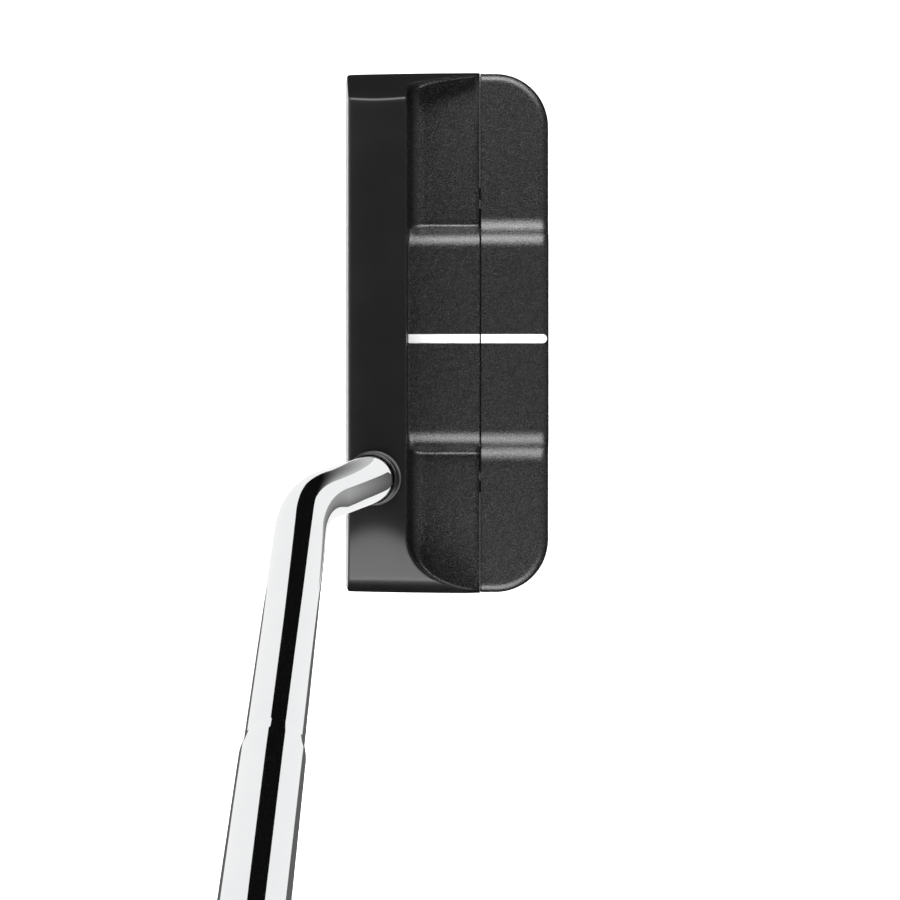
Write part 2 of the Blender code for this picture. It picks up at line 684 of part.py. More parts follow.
def shaft_stations():
    """(point, radius) from the collar to the butt: straight tip, bend, then the stepped length."""
    tip = hosel_direction()
    up = main_direction()
    corner = bend_point()
    angle = tip.angle(up)
    reach = BEND_RADIUS * math.tan(angle / 2)
    inward = (up - tip * up.dot(tip)).normalized()
    start = corner - tip * reach
    ledge = along_hosel(COLLAR_HEIGHT + GAP).translation
    stations = [(ledge, SHAFT_TIP_RADIUS)]
    for i in range(BEND_STATIONS + 1):
        turn = angle * i / BEND_STATIONS
        point = start + tip * BEND_RADIUS * math.sin(turn) + inward * BEND_RADIUS * (1 - math.cos(turn))
        stations.append((point, SHAFT_TIP_RADIUS))
    growth = (SHAFT_BUTT_RADIUS - SHAFT_TIP_RADIUS) / STEP_COUNT
    for step in range(STEP_COUNT):
        low = FIRST_STEP + STEP_SPACING * step
        radius = SHAFT_TIP_RADIUS + growth * step
        stations.append((corner + up * low, radius))
        stations.append((corner + up * (low + STEP_LENGTH), radius + growth))
    stations.append((corner + up * butt_distance(), SHAFT_BUTT_RADIUS))
    return stations


def make_shaft():
    stations = shaft_stations()
    curve = bpy.data.curves.new("shaft", "CURVE")
    curve.dimensions = "3D"
    curve.bevel_depth = SHAFT_TIP_RADIUS
    curve.bevel_resolution = 14
    spline = curve.splines.new("POLY")
    spline.points.add(len(stations) - 1)
    for point, (place, radius) in zip(spline.points, stations):
        point.co = (*place, 1)
        point.radius = radius / SHAFT_TIP_RADIUS
    shaft = meshed(bpy.data.objects.new("shaft", curve), "shaft", chrome)
    wall = shaft.modifiers.new("wall", "SOLIDIFY")
    wall.thickness = SHAFT_WALL
    wall.offset = -1
    smooth(shaft.data, 40.0)
    return shaft


def make_hosel_pieces():
    ledge = COLLAR_HEIGHT + GAP
    bore = SHAFT_TIP_RADIUS - SHAFT_WALL
    inner = bore - BOND_GAP - BOND_THICKNESS
    bond = tube(inner, bore - BOND_GAP, ledge, ledge + POST_HEIGHT - 3 * GAP)
    turned("hosel_bond", bond, along_hosel(0), cured_epoxy)
    outside = SHAFT_TIP_RADIUS + BOND_GAP
    ring = [
        (outside, ledge + FERRULE_HEIGHT),
        (outside + FERRULE_THICKNESS / 2, ledge + FERRULE_HEIGHT),
        (outside + FERRULE_THICKNESS, ledge + FERRULE_HEIGHT * FERRULE_SHOULDER),
        (outside + FERRULE_THICKNESS, ledge),
        (outside, ledge),
    ]
    turned("hosel_ring", ring, along_hosel(0), black_plastic)
    low = COLLAR_HEIGHT + POST_HEIGHT + TIP_PLUG_GAP
    plug = rod(bore - BOND_GAP, low, low + TIP_PLUG_LENGTH)
    turned("shaft_tip_plug", plug, along_hosel(0), cork)


# --- Grip -----------------------------------------------------------------------------------------


def grip_bore():
    return SHAFT_BUTT_RADIUS + 2 * TAPE_GAP + TAPE_THICKNESS


def make_grip():
    """A pistol grip: a turned sleeve whose front is pressed flat and whose back swells near the top."""
    bore = grip_bore()
    outer = []
    swell_start, swell_length = GRIP_SWELL
    narrowing, rounded = GRIP_END_ROUND
    for i in range(GRIP_STATIONS + 1):
        share = 1 - i / GRIP_STATIONS
        swell = 0.5 - 0.5 * math.cos(math.pi * min(1, max(0, (share - swell_start) / swell_length)))
        ends = narrowing * max(0, 1 - share * GRIP_LENGTH / rounded)
        radius = GRIP_LOW_RADIUS + (GRIP_TOP_RADIUS - GRIP_LOW_RADIUS) * swell - ends
        outer.append((radius, GRIP_LENGTH * share))
    profile = [(bore, GRIP_LENGTH)] + outer + [(bore, 0)]
    place = along_shaft(butt_distance() - GRIP_LENGTH)
    grip = turned("grip", profile, place, black_rubber, steps=32)
    middle, spread = BELLY_SPOT
    for vertex in grip.data.vertices:
        distance = math.hypot(vertex.co.x, vertex.co.y)
        if distance > bore + GRIP_SKIN / 2:
            share = vertex.co.z / GRIP_LENGTH
            belly = GRIP_BELLY * math.exp(-(((share - middle) / spread) ** 2))
            flat = max(GRIP_FLAT, bore + GRIP_SKIN) - FLAT_TAPER * (1 - share)
            back = max(0.0, -vertex.co.x / distance)
            vertex.co.x = min(vertex.co.x, flat) - belly * back
    return grip


def make_grip_pieces():
    low = butt_distance() - GRIP_LENGTH
    inner = SHAFT_BUTT_RADIUS + TAPE_GAP
    tape = tube(inner, inner + TAPE_THICKNESS, TAPE_SETBACK, GRIP_LENGTH - TAPE_SETBACK)
    turned("grip_tape", tape, along_shaft(low), adhesive_tape)
    plug = SHAFT_BUTT_RADIUS - SHAFT_WALL - BOND_GAP
    rim = GRIP_TOP_RADIUS - CAP_RIM_INSET
    inset, drop = CAP_CHAMFER
    cap = [
        (VENT_RADIUS, GAP + CAP_THICKNESS),
        (rim - inset, GAP + CAP_THICKNESS),
        (rim, GAP + CAP_THICKNESS - drop),
        (rim, GAP),
        (plug, GAP),
        (plug, -CAP_PLUG_LENGTH),
        (VENT_RADIUS, -CAP_PLUG_LENGTH),
    ]
    turned("grip_cap", cap, along_shaft(butt_distance()), black_plastic)


make_head_body()
make_rear_flange()
make_membrane()
make_sole_screws()
make_dowels()
make_weights()
make_sight_line()
make_shaft()
make_hosel_pieces()
make_grip()
make_grip_pieces()
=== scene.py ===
# Mallet putter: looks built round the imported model.
import math

import bpy
from mathutils import Matrix, Vector


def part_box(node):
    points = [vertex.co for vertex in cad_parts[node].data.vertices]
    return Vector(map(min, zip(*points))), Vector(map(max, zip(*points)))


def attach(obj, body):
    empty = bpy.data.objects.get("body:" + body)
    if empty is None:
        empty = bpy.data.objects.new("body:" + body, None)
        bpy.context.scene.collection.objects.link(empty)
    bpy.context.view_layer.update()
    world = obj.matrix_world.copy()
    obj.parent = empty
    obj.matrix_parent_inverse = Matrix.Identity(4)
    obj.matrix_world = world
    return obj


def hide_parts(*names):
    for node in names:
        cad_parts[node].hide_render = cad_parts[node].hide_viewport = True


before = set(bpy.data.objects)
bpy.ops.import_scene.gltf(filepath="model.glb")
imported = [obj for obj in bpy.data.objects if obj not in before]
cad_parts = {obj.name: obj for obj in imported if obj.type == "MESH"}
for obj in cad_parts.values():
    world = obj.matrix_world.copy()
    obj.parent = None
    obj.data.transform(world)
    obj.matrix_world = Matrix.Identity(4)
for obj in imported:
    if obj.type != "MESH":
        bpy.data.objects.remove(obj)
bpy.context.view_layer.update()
print("frame loaded:", len(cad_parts), "nodes")


def deselectAll():
    bpy.ops.object.select_all(action="DESELECT")


def switchTo(mode):
    bpy.ops.object.mode_set(mode=mode)


def onlySelect(piece):
    deselectAll()
    piece.select_set(True)
    bpy.context.view_layer.objects.active = piece


def rename(name):
    piece = bpy.context.active_object
    piece.name = name
    piece.data.name = name
    return piece


def settle(piece):
    # the place goes into the mesh, so the object ends at the origin
    onlySelect(piece)
    bpy.ops.object.transform_apply(location=True, rotation=True, scale=True)
    return piece


def setPlace(piece, place):
    piece.matrix_world = place
    return settle(piece)


def combine(piece, tool, operation="DIFFERENCE"):
    # cut a tool out of a piece, or weld it on, and drop the tool
    onlySelect(piece)
    modifier = piece.modifiers.new("combine", "BOOLEAN")
    modifier.object = tool
    modifier.operation = operation
    modifier.solver = "EXACT"
    bpy.ops.object.modifier_apply(modifier="combine")
    bpy.data.objects.remove(tool, do_unlink=True)
    return piece


def smoothBy(piece, degrees):
    onlySelect(piece)
    bpy.ops.object.shade_smooth_by_angle(angle=math.radians(degrees))
    return piece


def block(name, low, high):
    deselectAll()
    centre = [(a + b) / 2 for a, b in zip(low, high)]
    bpy.ops.mesh.primitive_cube_add(size=1, location=centre)
    piece = rename(name)
    piece.scale = [b - a for a, b in zip(low, high)]
    return settle(piece)


def rod(name, radius, low, high, place, sides):
    deselectAll()
    bpy.ops.mesh.primitive_cylinder_add(
        vertices=sides, radius=radius, depth=high - low, location=(0, 0, (low + high) / 2))
    piece = settle(rename(name))
    return setPlace(piece, place)


def turned(name, profile, sides):
    # a circle is extruded and resized from height to height; profile is a list of (radius, height)
    deselectAll()
    firstRadius, firstHeight = profile[0]
    bpy.ops.mesh.primitive_circle_add(vertices=sides, radius=firstRadius, location=(0, 0, firstHeight))
    piece = settle(rename(name))
    switchTo("EDIT")
    bpy.ops.mesh.select_all(action="SELECT")
    radius, height = firstRadius, firstHeight
    for nextRadius, nextHeight in profile[1:]:
        bpy.ops.mesh.extrude_region_move(
            TRANSFORM_OT_translate={"value": (0, 0, nextHeight - height)})
        ratio = nextRadius / radius
        bpy.ops.transform.resize(value=(ratio, ratio, 1), center_override=(0, 0, nextHeight))
        radius, height = nextRadius, nextHeight
    switchTo("OBJECT")
    return piece


def closeEnds(piece):
    # fills the open rings that are left at a turned piece's two ends
    onlySelect(piece)
    switchTo("EDIT")
    bpy.ops.mesh.select_all(action="SELECT")
    bpy.ops.mesh.remove_doubles(threshold=1e-7)
    bpy.ops.mesh.select_all(action="DESELECT")
    bpy.ops.mesh.select_non_manifold()
    bpy.ops.mesh.edge_face_add()
    bpy.ops.mesh.select_all(action="SELECT")
    bpy.ops.mesh.normals_make_consistent(inside=False)
    switchTo("OBJECT")
    return piece


def ringed(piece):
    # joins a turned profile's last ring to its first, which lie on each other
    onlySelect(piece)
    switchTo("EDIT")
    bpy.ops.mesh.select_all(action="SELECT")
    bpy.ops.mesh.remove_doubles(threshold=1e-7)
    bpy.ops.mesh.normals_make_consistent(inside=False)
    switchTo("OBJECT")
    return piece


def solidTurned(name, profile, place, sides=96):
    piece = closeEnds(turned(name, profile, sides))
    smoothBy(piece, 28)
    return setPlace(piece, place)


def ringTurned(name, profile, place, sides, sharp):
    piece = ringed(turned(name, profile + profile[:1], sides))
    smoothBy(piece, sharp)
    return setPlace(piece, place)


def gridPiece(name, columns, rows, pointAt):
    # a flat grid whose points are then sculpted: pointAt(column, row) gives each one's place
    deselectAll()
    bpy.ops.mesh.primitive_grid_add(x_subdivisions=columns - 1, y_subdivisions=rows - 1, size=2)
    piece = rename(name)
    for vertex in piece.data.vertices:
        column = round((vertex.co.x + 1) / 2 * (columns - 1))
        row = round((vertex.co.y + 1) / 2 * (rows - 1))
        vertex.co = pointAt(column, row)
    return piece


def stretch(parts):
    # places along a line: parts are (end, count, crowding), crowding "even", "start" or "end"
    places = [parts[0]]
    for end, count, crowding in parts[1:]:
        start = places[-1]
        for i in range(1, count + 1):
            share = i / count
            if crowding == "start":
                share = 1 - math.cos(share * math.pi / 2)
            elif crowding == "end":
                share = math.sin(share * math.pi / 2)
            places.append(start + (end - start) * share)
    return places


def quarter(steps):
    # the angles of a quarter turn in even steps, both ends in
    return [math.radians(90 * i / steps) for i in range(steps + 1)]


def between(start, end, count):
    # even steps from start to end, without the start itself
    return [start + (end - start) * i / count for i in range(1, count + 1)]


def softMin(first, second, width):
    # the lower of two heights, blended where they cross
    return 0.5 * (first + second - math.sqrt((first - second) ** 2 + width ** 2))


def roundOver(distance, radius):
    # how far a rounded edge has dropped at this distance from the side
    inside = min(max(radius - distance, 0), radius)
    return radius - math.sqrt(max(radius ** 2 - inside ** 2, 0))


class Wire:
    # a socket that takes part in sums: each sign adds its Math node
    def __init__(self, paint, socket):
        self.paint = paint
        self.socket = socket

    def sum(self, operation, first, second):
        return self.paint.node("ShaderNodeMath", {"operation": operation}, {0: first, 1: second})

    def __add__(self, other):
        return self.sum("ADD", self, other)

    def __radd__(self, other):
        return self.sum("ADD", other, self)

    def __sub__(self, other):
        return self.sum("SUBTRACT", self, other)

    def __rsub__(self, other):
        return self.sum("SUBTRACT", other, self)

    def __mul__(self, other):
        return self.sum("MULTIPLY", self, other)

    def __rmul__(self, other):
        return self.sum("MULTIPLY", other, self)

    def __truediv__(self, other):
        return self.sum("DIVIDE", self, other)

    def __pow__(self, other):
        return self.sum("POWER", self, other)


class Paint:
    # one material and its nodes
    def __init__(self, name, constants=None):
        self.material = bpy.data.materials.new(name)
        self.material.use_nodes = True
        self.tree = self.material.node_tree
        self.shader = self.tree.nodes["Principled BSDF"]
        for socket, value in (constants or {}).items():
            self.shader.inputs[socket].default_value = value

    def node(self, kind, settings=None, inputs=None, output=0):
        made = self.tree.nodes.new(kind)
        for key, value in (settings or {}).items():
            setattr(made, key, value)
        for key, value in (inputs or {}).items():
            if isinstance(value, Wire):
                self.tree.links.new(value.socket, made.inputs[key])
            else:
                made.inputs[key].default_value = value
        return Wire(self, made.outputs[output])

    def place(self):
        return self.node("ShaderNodeTexCoord", output="Object")

    def grain(self, size, detail=2.0, stretchBy=(1, 1, 1), roughness=0.5):
        # noise whose lumps are about this many metres across
        mapped = self.node("ShaderNodeMapping", {"vector_type": "POINT"}, {
            "Vector": self.place(), "Scale": [s / size for s in stretchBy]})
        return self.node("ShaderNodeTexNoise", {"noise_dimensions": "3D"}, {
            "Vector": mapped, "Scale": 1.0, "Detail": detail, "Roughness": roughness})

    def axis(self, letter, source=None):
        return self.node("ShaderNodeSeparateXYZ", inputs={0: source or self.place()}, output=letter)

    def clamp(self, value, low, high):
        # low..high becomes 0..1
        return self.node("ShaderNodeMapRange", {"clamp": True}, {
            0: value, 1: low, 2: high, 3: 0.0, 4: 1.0})

    def shade(self, amount, dark, light):
        return self.node("ShaderNodeMix", {"data_type": "RGBA"}, {
            "Factor": amount, 6: (*dark, 1), 7: (*light, 1)}, output=2)

    def feed(self, socket, wire):
        self.tree.links.new(wire.socket, self.shader.inputs[socket])
        return self

    def bump(self, height, depth, strength=1.0, under=None):
        inputs = {"Strength": strength, "Distance": depth, "Height": height}
        if under:
            inputs["Normal"] = under
        return self.node("ShaderNodeBump", inputs=inputs)

    def on(self, piece):
        piece.data.materials.clear()
        piece.data.materials.append(self.material)
        return piece


satin = {
    "dark": (0.0050, 0.0050, 0.0053), "light": (0.0075, 0.0075, 0.0079), "roughness": 0.28,
    "specular": 0.44, "cloud": 0.009, "orangePeel": 0.0011, "fine": 0.00022,
}


def satinBlack():
    paint = Paint("satinBlack", {"Specular IOR Level": satin["specular"]})
    cloud = paint.grain(satin["cloud"], 3.0)
    fine = paint.grain(satin["fine"], 2.0)
    paint.feed("Base Color", paint.shade(cloud, satin["dark"], satin["light"]))
    paint.feed("Roughness", satin["roughness"] + 0.05 * cloud + 0.05 * fine)
    peel = paint.bump(paint.grain(satin["orangePeel"], 1.0), 0.000004, 0.35)
    paint.feed("Normal", paint.bump(fine, 0.000006, 0.30, peel))
    return paint


blast = {
    "dark": (0.0015, 0.0015, 0.0016), "light": (0.0105, 0.0105, 0.0109), "roughness": 0.30,
    "specular": 0.95, "grain": 0.00028, "coarse": 0.00075, "pitDepth": 0.00014,
}


def blastedBlack():
    # bead-blasted and blacked metal: fine pits that sparkle
    paint = Paint("blastedBlack", {"Specular IOR Level": blast["specular"]})
    pits = paint.grain(blast["grain"], 3.0, roughness=0.7)
    coarse = paint.grain(blast["coarse"], 2.0)
    speck = paint.clamp(pits * 0.75 + coarse * 0.25, 0.43, 0.60)
    paint.feed("Base Color", paint.shade(speck, blast["dark"], blast["light"]))
    paint.feed("Roughness", blast["roughness"] - 0.10 * speck + 0.04 * coarse)
    paint.feed("Normal", paint.bump(pits, blast["pitDepth"], 0.6))
    return paint


milled = {
    "dark": (0.010, 0.010, 0.011), "light": (0.016, 0.016, 0.017), "roughness": 0.34,
    "arcCentre": -0.032, "marksPerMetre": 7000.0, "markDepth": 0.00003,
}


def milledFace():
    # the same black over fine cutter marks that arc across the face
    paint = Paint("milledFace")
    x = paint.axis("X")
    z = paint.axis("Z") - milled["arcCentre"]
    radius = (x * x + z * z) ** 0.5
    marks = paint.node("ShaderNodeMath", {"operation": "SINE"}, {0: radius * milled["marksPerMetre"]})
    fine = paint.grain(0.0003, 2.0)
    paint.feed("Base Color", paint.shade(fine, milled["dark"], milled["light"]))
    paint.feed("Roughness", milled["roughness"] + 0.06 * fine)
    paint.feed("Normal", paint.bump(marks, milled["markDepth"], 0.35))
    return paint


def whiteLine():
    paint = Paint("whiteLine")
    fine = paint.grain(0.0004, 2.0)
    paint.feed("Base Color", paint.shade(fine, (0.86, 0.86, 0.85), (0.93, 0.93, 0.92)))
    paint.feed("Roughness", 0.42 + 0.10 * fine)
    paint.feed("Normal", paint.bump(fine, 0.00001, 0.3))
    return paint


chrome = {"dark": (0.84, 0.85, 0.86), "light": (0.90, 0.905, 0.91), "roughness": 0.035, "haze": 0.012}


def brightChrome():
    # plated and polished tube: only a breath of haze and the faintest drawing marks
    paint = Paint("brightChrome", {"Metallic": 1.0})
    haze = paint.grain(chrome["haze"], 3.0)
    paint.feed("Base Color", paint.shade(haze, chrome["dark"], chrome["light"]))
    paint.feed("Roughness", chrome["roughness"] + 0.025 * haze)
    paint.feed("Normal", paint.bump(paint.grain(0.0016, 1.0), 0.0000015, 0.10))
    return paint


def machinedSteel(name="machinedSteel", tint=(0.50, 0.51, 0.52)):
    paint = Paint(name, {"Metallic": 1.0})
    fine = paint.grain(0.0005, 3.0)
    lines = paint.grain(0.00016, 2.0, stretchBy=(1, 1, 0.05))
    light = tuple(min(1, c * 1.22) for c in tint)
    paint.feed("Base Color", paint.shade(fine, tint, light))
    paint.feed("Roughness", 0.26 + 0.10 * fine)
    paint.feed("Normal", paint.bump(lines, 0.000006, 0.25))
    return paint


def glossPlastic():
    paint = Paint("glossPlastic")
    fine = paint.grain(0.0006, 2.0)
    paint.feed("Base Color", paint.shade(fine, (0.008, 0.008, 0.008), (0.014, 0.014, 0.014)))
    paint.feed("Roughness", 0.18 + 0.10 * fine)
    paint.feed("Normal", paint.bump(fine, 0.000004, 0.3))
    return paint


def softRubber():
    paint = Paint("softRubber")
    fine = paint.grain(0.0005, 3.0)
    cloud = paint.grain(0.02, 3.0)
    paint.feed("Base Color", paint.shade(cloud, (0.012, 0.012, 0.012), (0.021, 0.021, 0.021)))
    paint.feed("Roughness", 0.62 + 0.14 * fine)
    paint.feed("Normal", paint.bump(fine, 0.00004, 0.5))
    return paint


tread = {
    "dark": (0.010, 0.010, 0.010), "light": (0.022, 0.022, 0.022), "roughness": 0.66,
    "ribsPerMetre": 2600.0, "depth": 0.00025,
}


def gripRubber(along):
    # moulded rubber with a fine diamond tread, on an axis along the shaft
    paint = Paint("gripRubber")
    spot = paint.place()
    up = paint.node("ShaderNodeVectorMath", {"operation": "DOT_PRODUCT"}, {0: spot, 1: along}, output="Value")
    side = paint.axis("Y", spot)
    ribs = tread["ribsPerMetre"]
    first = paint.node("ShaderNodeMath", {"operation": "SINE"}, {0: (up + side) * ribs})
    second = paint.node("ShaderNodeMath", {"operation": "SINE"}, {0: (up - side) * ribs})
    diamonds = paint.clamp(first * second, -0.2, 0.7)
    fine = paint.grain(0.0006, 3.0)
    cloud = paint.grain(0.03, 3.0)
    paint.feed("Base Color", paint.shade(cloud * 0.5 + diamonds * 0.5, tread["dark"], tread["light"]))
    paint.feed("Roughness", tread["roughness"] + 0.12 * fine - 0.10 * diamonds)
    under = paint.bump(fine, 0.00004, 0.4)
    paint.feed("Normal", paint.bump(diamonds, tread["depth"], 0.7, under))
    return paint


def plainFinish(name, dark, light, roughness, size):
    paint = Paint(name)
    fine = paint.grain(size, 4.0)
    paint.feed("Base Color", paint.shade(fine, dark, light))
    paint.feed("Roughness", roughness + 0.1 * fine)
    paint.feed("Normal", paint.bump(fine, size * 0.2, 0.5))
    return paint


satinPaint = satinBlack()
blastPaint = blastedBlack()
facePaint = milledFace()
linePaint = whiteLine()
chromePaint = brightChrome()
steelPaint = machinedSteel()
weightPaint = machinedSteel("weightSteel", (0.42, 0.43, 0.44))
plasticPaint = glossPlastic()
rubberPaint = softRubber()
epoxyPaint = plainFinish("curedEpoxy", (0.45, 0.40, 0.28), (0.58, 0.52, 0.40), 0.35, 0.0012)
tapePaint = plainFinish("paperTape", (0.62, 0.55, 0.40), (0.76, 0.70, 0.56), 0.80, 0.0010)
corkPaint = plainFinish("pressedCork", (0.30, 0.19, 0.10), (0.60, 0.44, 0.28), 0.85, 0.0016)
print("materials made")


rearLow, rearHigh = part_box("rear_flange")
frontLow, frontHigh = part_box("sight_line_front")
head = {
    "toe": rearLow.x, "heel": rearHigh.x, "front": -0.0209, "rear": rearHigh.y,
    "joint": frontHigh.y, "visibleGap": 0.0001, "rearEdge": 0.0016, "rearFoot": 0.0012, "rearLip": 0.00018,
    "bumperDepth": 0.0128, "height": 0.0242, "loft": 3.0,
    "pad": 0.0130, "padHalf": 0.0183, "pocket": 0.0085, "rearLevel": 0.0100, "rimAtSeam": 0.0110,
    "crownDrop": 0.0007, "crownHalf": 0.0054, "topEdge": 0.0005, "rimEdge": 0.00045,
    "sole": 0.0022, "soleEdge": 0.0017,
    "frontCorner": 0.0007, "rearCorner": 0.0107, "edge": 0.0018, "taper": 0.0004,
    "toeLean": 0.0065, "toeCurve": 0.92, "toeFoot": 0.0100, "heelSlope": 20.0, "heelSlopeStart": 0.0145,
    "heelRoll": 0.0034, "heelFoot": 0.0134, "crease": 0.0007,
    "toeRise": 0.012, "heelLift": 0.00015, "heelCrease": 0.0012, "fenderCurve": 2.2,
    "fillet": 0.0036, "smallFillet": 0.0005, "seamFillet": 0.0010, "lip": 0.00015,
    "filletFade": 10, "seamRise": 0.45,
    "heelMouth": (0.0126, 0.0120, 2.4, 1.9), "toeMouth": (0.0046, 0.0041, 3),   # start, length, powers
    "toeRim": (0.0052, 0.0020, 0.0005),   # where the recess's rim grows rounder: start, length, amount
}
# the two parts meet with a finer line than their solids
head["rearStart"] = head["joint"] + 2 * head["visibleGap"]
head["seam"] = head["joint"] + head["visibleGap"]
wallLine = head["front"] + head["bumperDepth"]
frontSlope = {"angle": 64.0, "top": 0.0038, "foot": 0.0008}
rearSlope = {"angle": 46.0, "top": 0.0042, "foot": 0.0042}


def slopeDrop(distance, drop, shape):
    # arc, straight, arc: how far the surface has dropped this far outside the flat pad
    angle = math.radians(shape["angle"])
    top, foot = shape["top"], shape["foot"]
    topRun, topDrop = top * math.sin(angle), top * (1 - math.cos(angle))
    footRun, footDrop = foot * math.sin(angle), foot * (1 - math.cos(angle))
    straight = (drop - topDrop - footDrop) / math.tan(angle)
    if distance <= 0:
        return 0.0
    if distance < topRun:
        return top - math.sqrt(top ** 2 - distance ** 2)
    if distance < topRun + straight:
        return topDrop + (distance - topRun) * math.tan(angle)
    left = topRun + straight + footRun - distance
    if left > 0:
        return drop - (foot - math.sqrt(foot ** 2 - left ** 2))
    return drop


def slopeRun(drop, shape):
    angle = math.radians(shape["angle"])
    bends = (shape["top"] + shape["foot"]) * math.sin(angle)
    bendDrop = (shape["top"] + shape["foot"]) * (1 - math.cos(angle))
    return bends + (drop - bendDrop) / math.tan(angle)


def faceLine(z):
    return head["front"] + z * math.tan(math.radians(head["loft"]))


def toeWall(x):
    share = max(x - head["toe"], 0) / head["toeLean"]
    if share <= 1:
        return head["toeFoot"] + (head["height"] - head["toeFoot"]) * share ** head["toeCurve"]
    return head["height"] + (share - 1) * head["toeRise"]


def heelWall(x):
    start = head["heel"] - head["heelSlopeStart"]
    slope = math.tan(math.radians(head["heelSlope"]))
    ramp = head["height"] + head["heelLift"] - (x - start) * slope
    left = head["heel"] - x
    if left < head["heelRoll"]:
        share = (head["heelRoll"] - left) / head["heelRoll"]
        shoulder = head["height"] - head["heelSlopeStart"] * slope
        return ramp - (shoulder - head["heelFoot"]) * (1 - math.sqrt(max(1 - share ** 2, 0)))
    return ramp


def topHeight(x, y):
    middle = faceLine(head["height"]) + head["crownHalf"]
    z = head["height"] - head["crownDrop"] * min(((y - middle) / head["crownHalf"]) ** 2, 1)
    if y > wallLine:
        share = (y - wallLine) / (head["seam"] - wallLine)
        fall = head["height"] - head["crownDrop"] - head["rimAtSeam"]
        z = head["height"] - head["crownDrop"] - fall * share ** head["fenderCurve"]
    z = softMin(z, heelWall(x), head["heelCrease"])
    return min(softMin(z, toeWall(x), head["crease"]), head["height"])


def mouthLine(x):
    # where the recess's wall runs: straight behind the topline, rounding away at toe and heel
    depth = head["seam"] - wallLine
    start, length, inner, outer = head["heelMouth"]
    fromHeel = (x - (head["heel"] - start)) / length
    if fromHeel > 0:
        return wallLine + depth * (1 - (1 - min(fromHeel, 1) ** inner) ** (1 / outer))
    start, length, power = head["toeMouth"]
    fromToe = ((head["toe"] + start) - x) / length
    if fromToe > 0:
        return wallLine + depth * min(fromToe, 1) ** power
    return wallLine


def padHeight(x):
    drop = head["pad"] - head["pocket"]
    return head["pad"] - slopeDrop(abs(x) - head["padHalf"], drop, frontSlope)


def soleRise(x):
    near = min(x - head["toe"], head["heel"] - x)
    return roundOver(near, head["sole"])


def bodySection(x):
    # one cut through the front part at x, all the way round, as (y, z); the count never changes
    near = min(x - head["toe"], head["heel"] - x)
    inset = roundOver(near, head["frontCorner"])
    low = soleRise(x)
    soleEdge, topEdge, lip = head["soleEdge"], head["topEdge"], head["lip"]
    points = []
    bottomFront = faceLine(0) + inset + soleEdge
    for i, turn in enumerate(quarter(6)):
        y = bottomFront - soleEdge * math.sin(turn)
        z = low + soleEdge * (1 - math.cos(turn))
        points.append((y + (z * math.tan(math.radians(head["loft"]))) * (i / 6), z))
    frontTop = topHeight(x, faceLine(head["height"]) + inset + topEdge)
    faceStart = low + soleEdge
    faceEnd = max(frontTop - topEdge, faceStart + 0.0002)
    points += [(faceLine(z) + inset, z) for z in between(faceStart, faceEnd, 14)]
    edgeY = faceLine(faceEnd) + inset
    for turn in quarter(6)[1:-1]:
        y = edgeY + topEdge * (1 - math.cos(turn))
        points.append((y, faceEnd + (topHeight(x, y) - faceEnd) * math.sin(turn)))
    wall = mouthLine(x)
    rimStart, rimLength, rimExtra = head["toeRim"]
    rim = head["rimEdge"] + rimExtra * min(max((head["toe"] + rimStart - x) / rimLength, 0), 1)
    start = edgeY + topEdge
    points += [(y, topHeight(x, y)) for y in [start] + between(start, wall - rim, 28)]
    high = topHeight(x, wall - rim)
    base = padHeight(x)
    share = (head["pad"] - base) / (head["pad"] - head["pocket"])
    room = max(head["seam"] - wall, 0)
    rounding = min((wall - wallLine) / (head["seam"] - wallLine), 1)
    fading = share * (1 - rounding) ** head["filletFade"]
    fillet = head["smallFillet"] + (head["fillet"] - head["smallFillet"]) * fading
    fillet = min(fillet, room * 0.6, max(high - base - 2 * rim, 0.0001))
    for turn in quarter(5)[1:]:
        points.append((wall - rim + rim * math.sin(turn), high - rim * (1 - math.cos(turn))))
    points += [(wall, z) for z in between(high - rim, base + fillet, 8)]
    for turn in quarter(10)[1:]:
        points.append((wall + fillet * (1 - math.cos(turn)), base + fillet * (1 - math.sin(turn))))
    seamFillet = min(head["seamFillet"], room * 0.3)
    floorEnd = head["seam"] - lip
    rise = head["seamRise"] * seamFillet * share
    for y in between(wall + fillet, floorEnd, 22):
        into = max(0, y - (floorEnd - seamFillet * 1.2)) / max(seamFillet * 1.2, 1e-6)
        points.append((y, base + rise * into ** 2))
    end = base + rise
    points.append((head["seam"], end - lip))
    points += [(head["seam"], z) for z in between(end - lip, low, 6)]
    return points + [(y, low) for y in between(head["seam"], bottomFront, 8)]


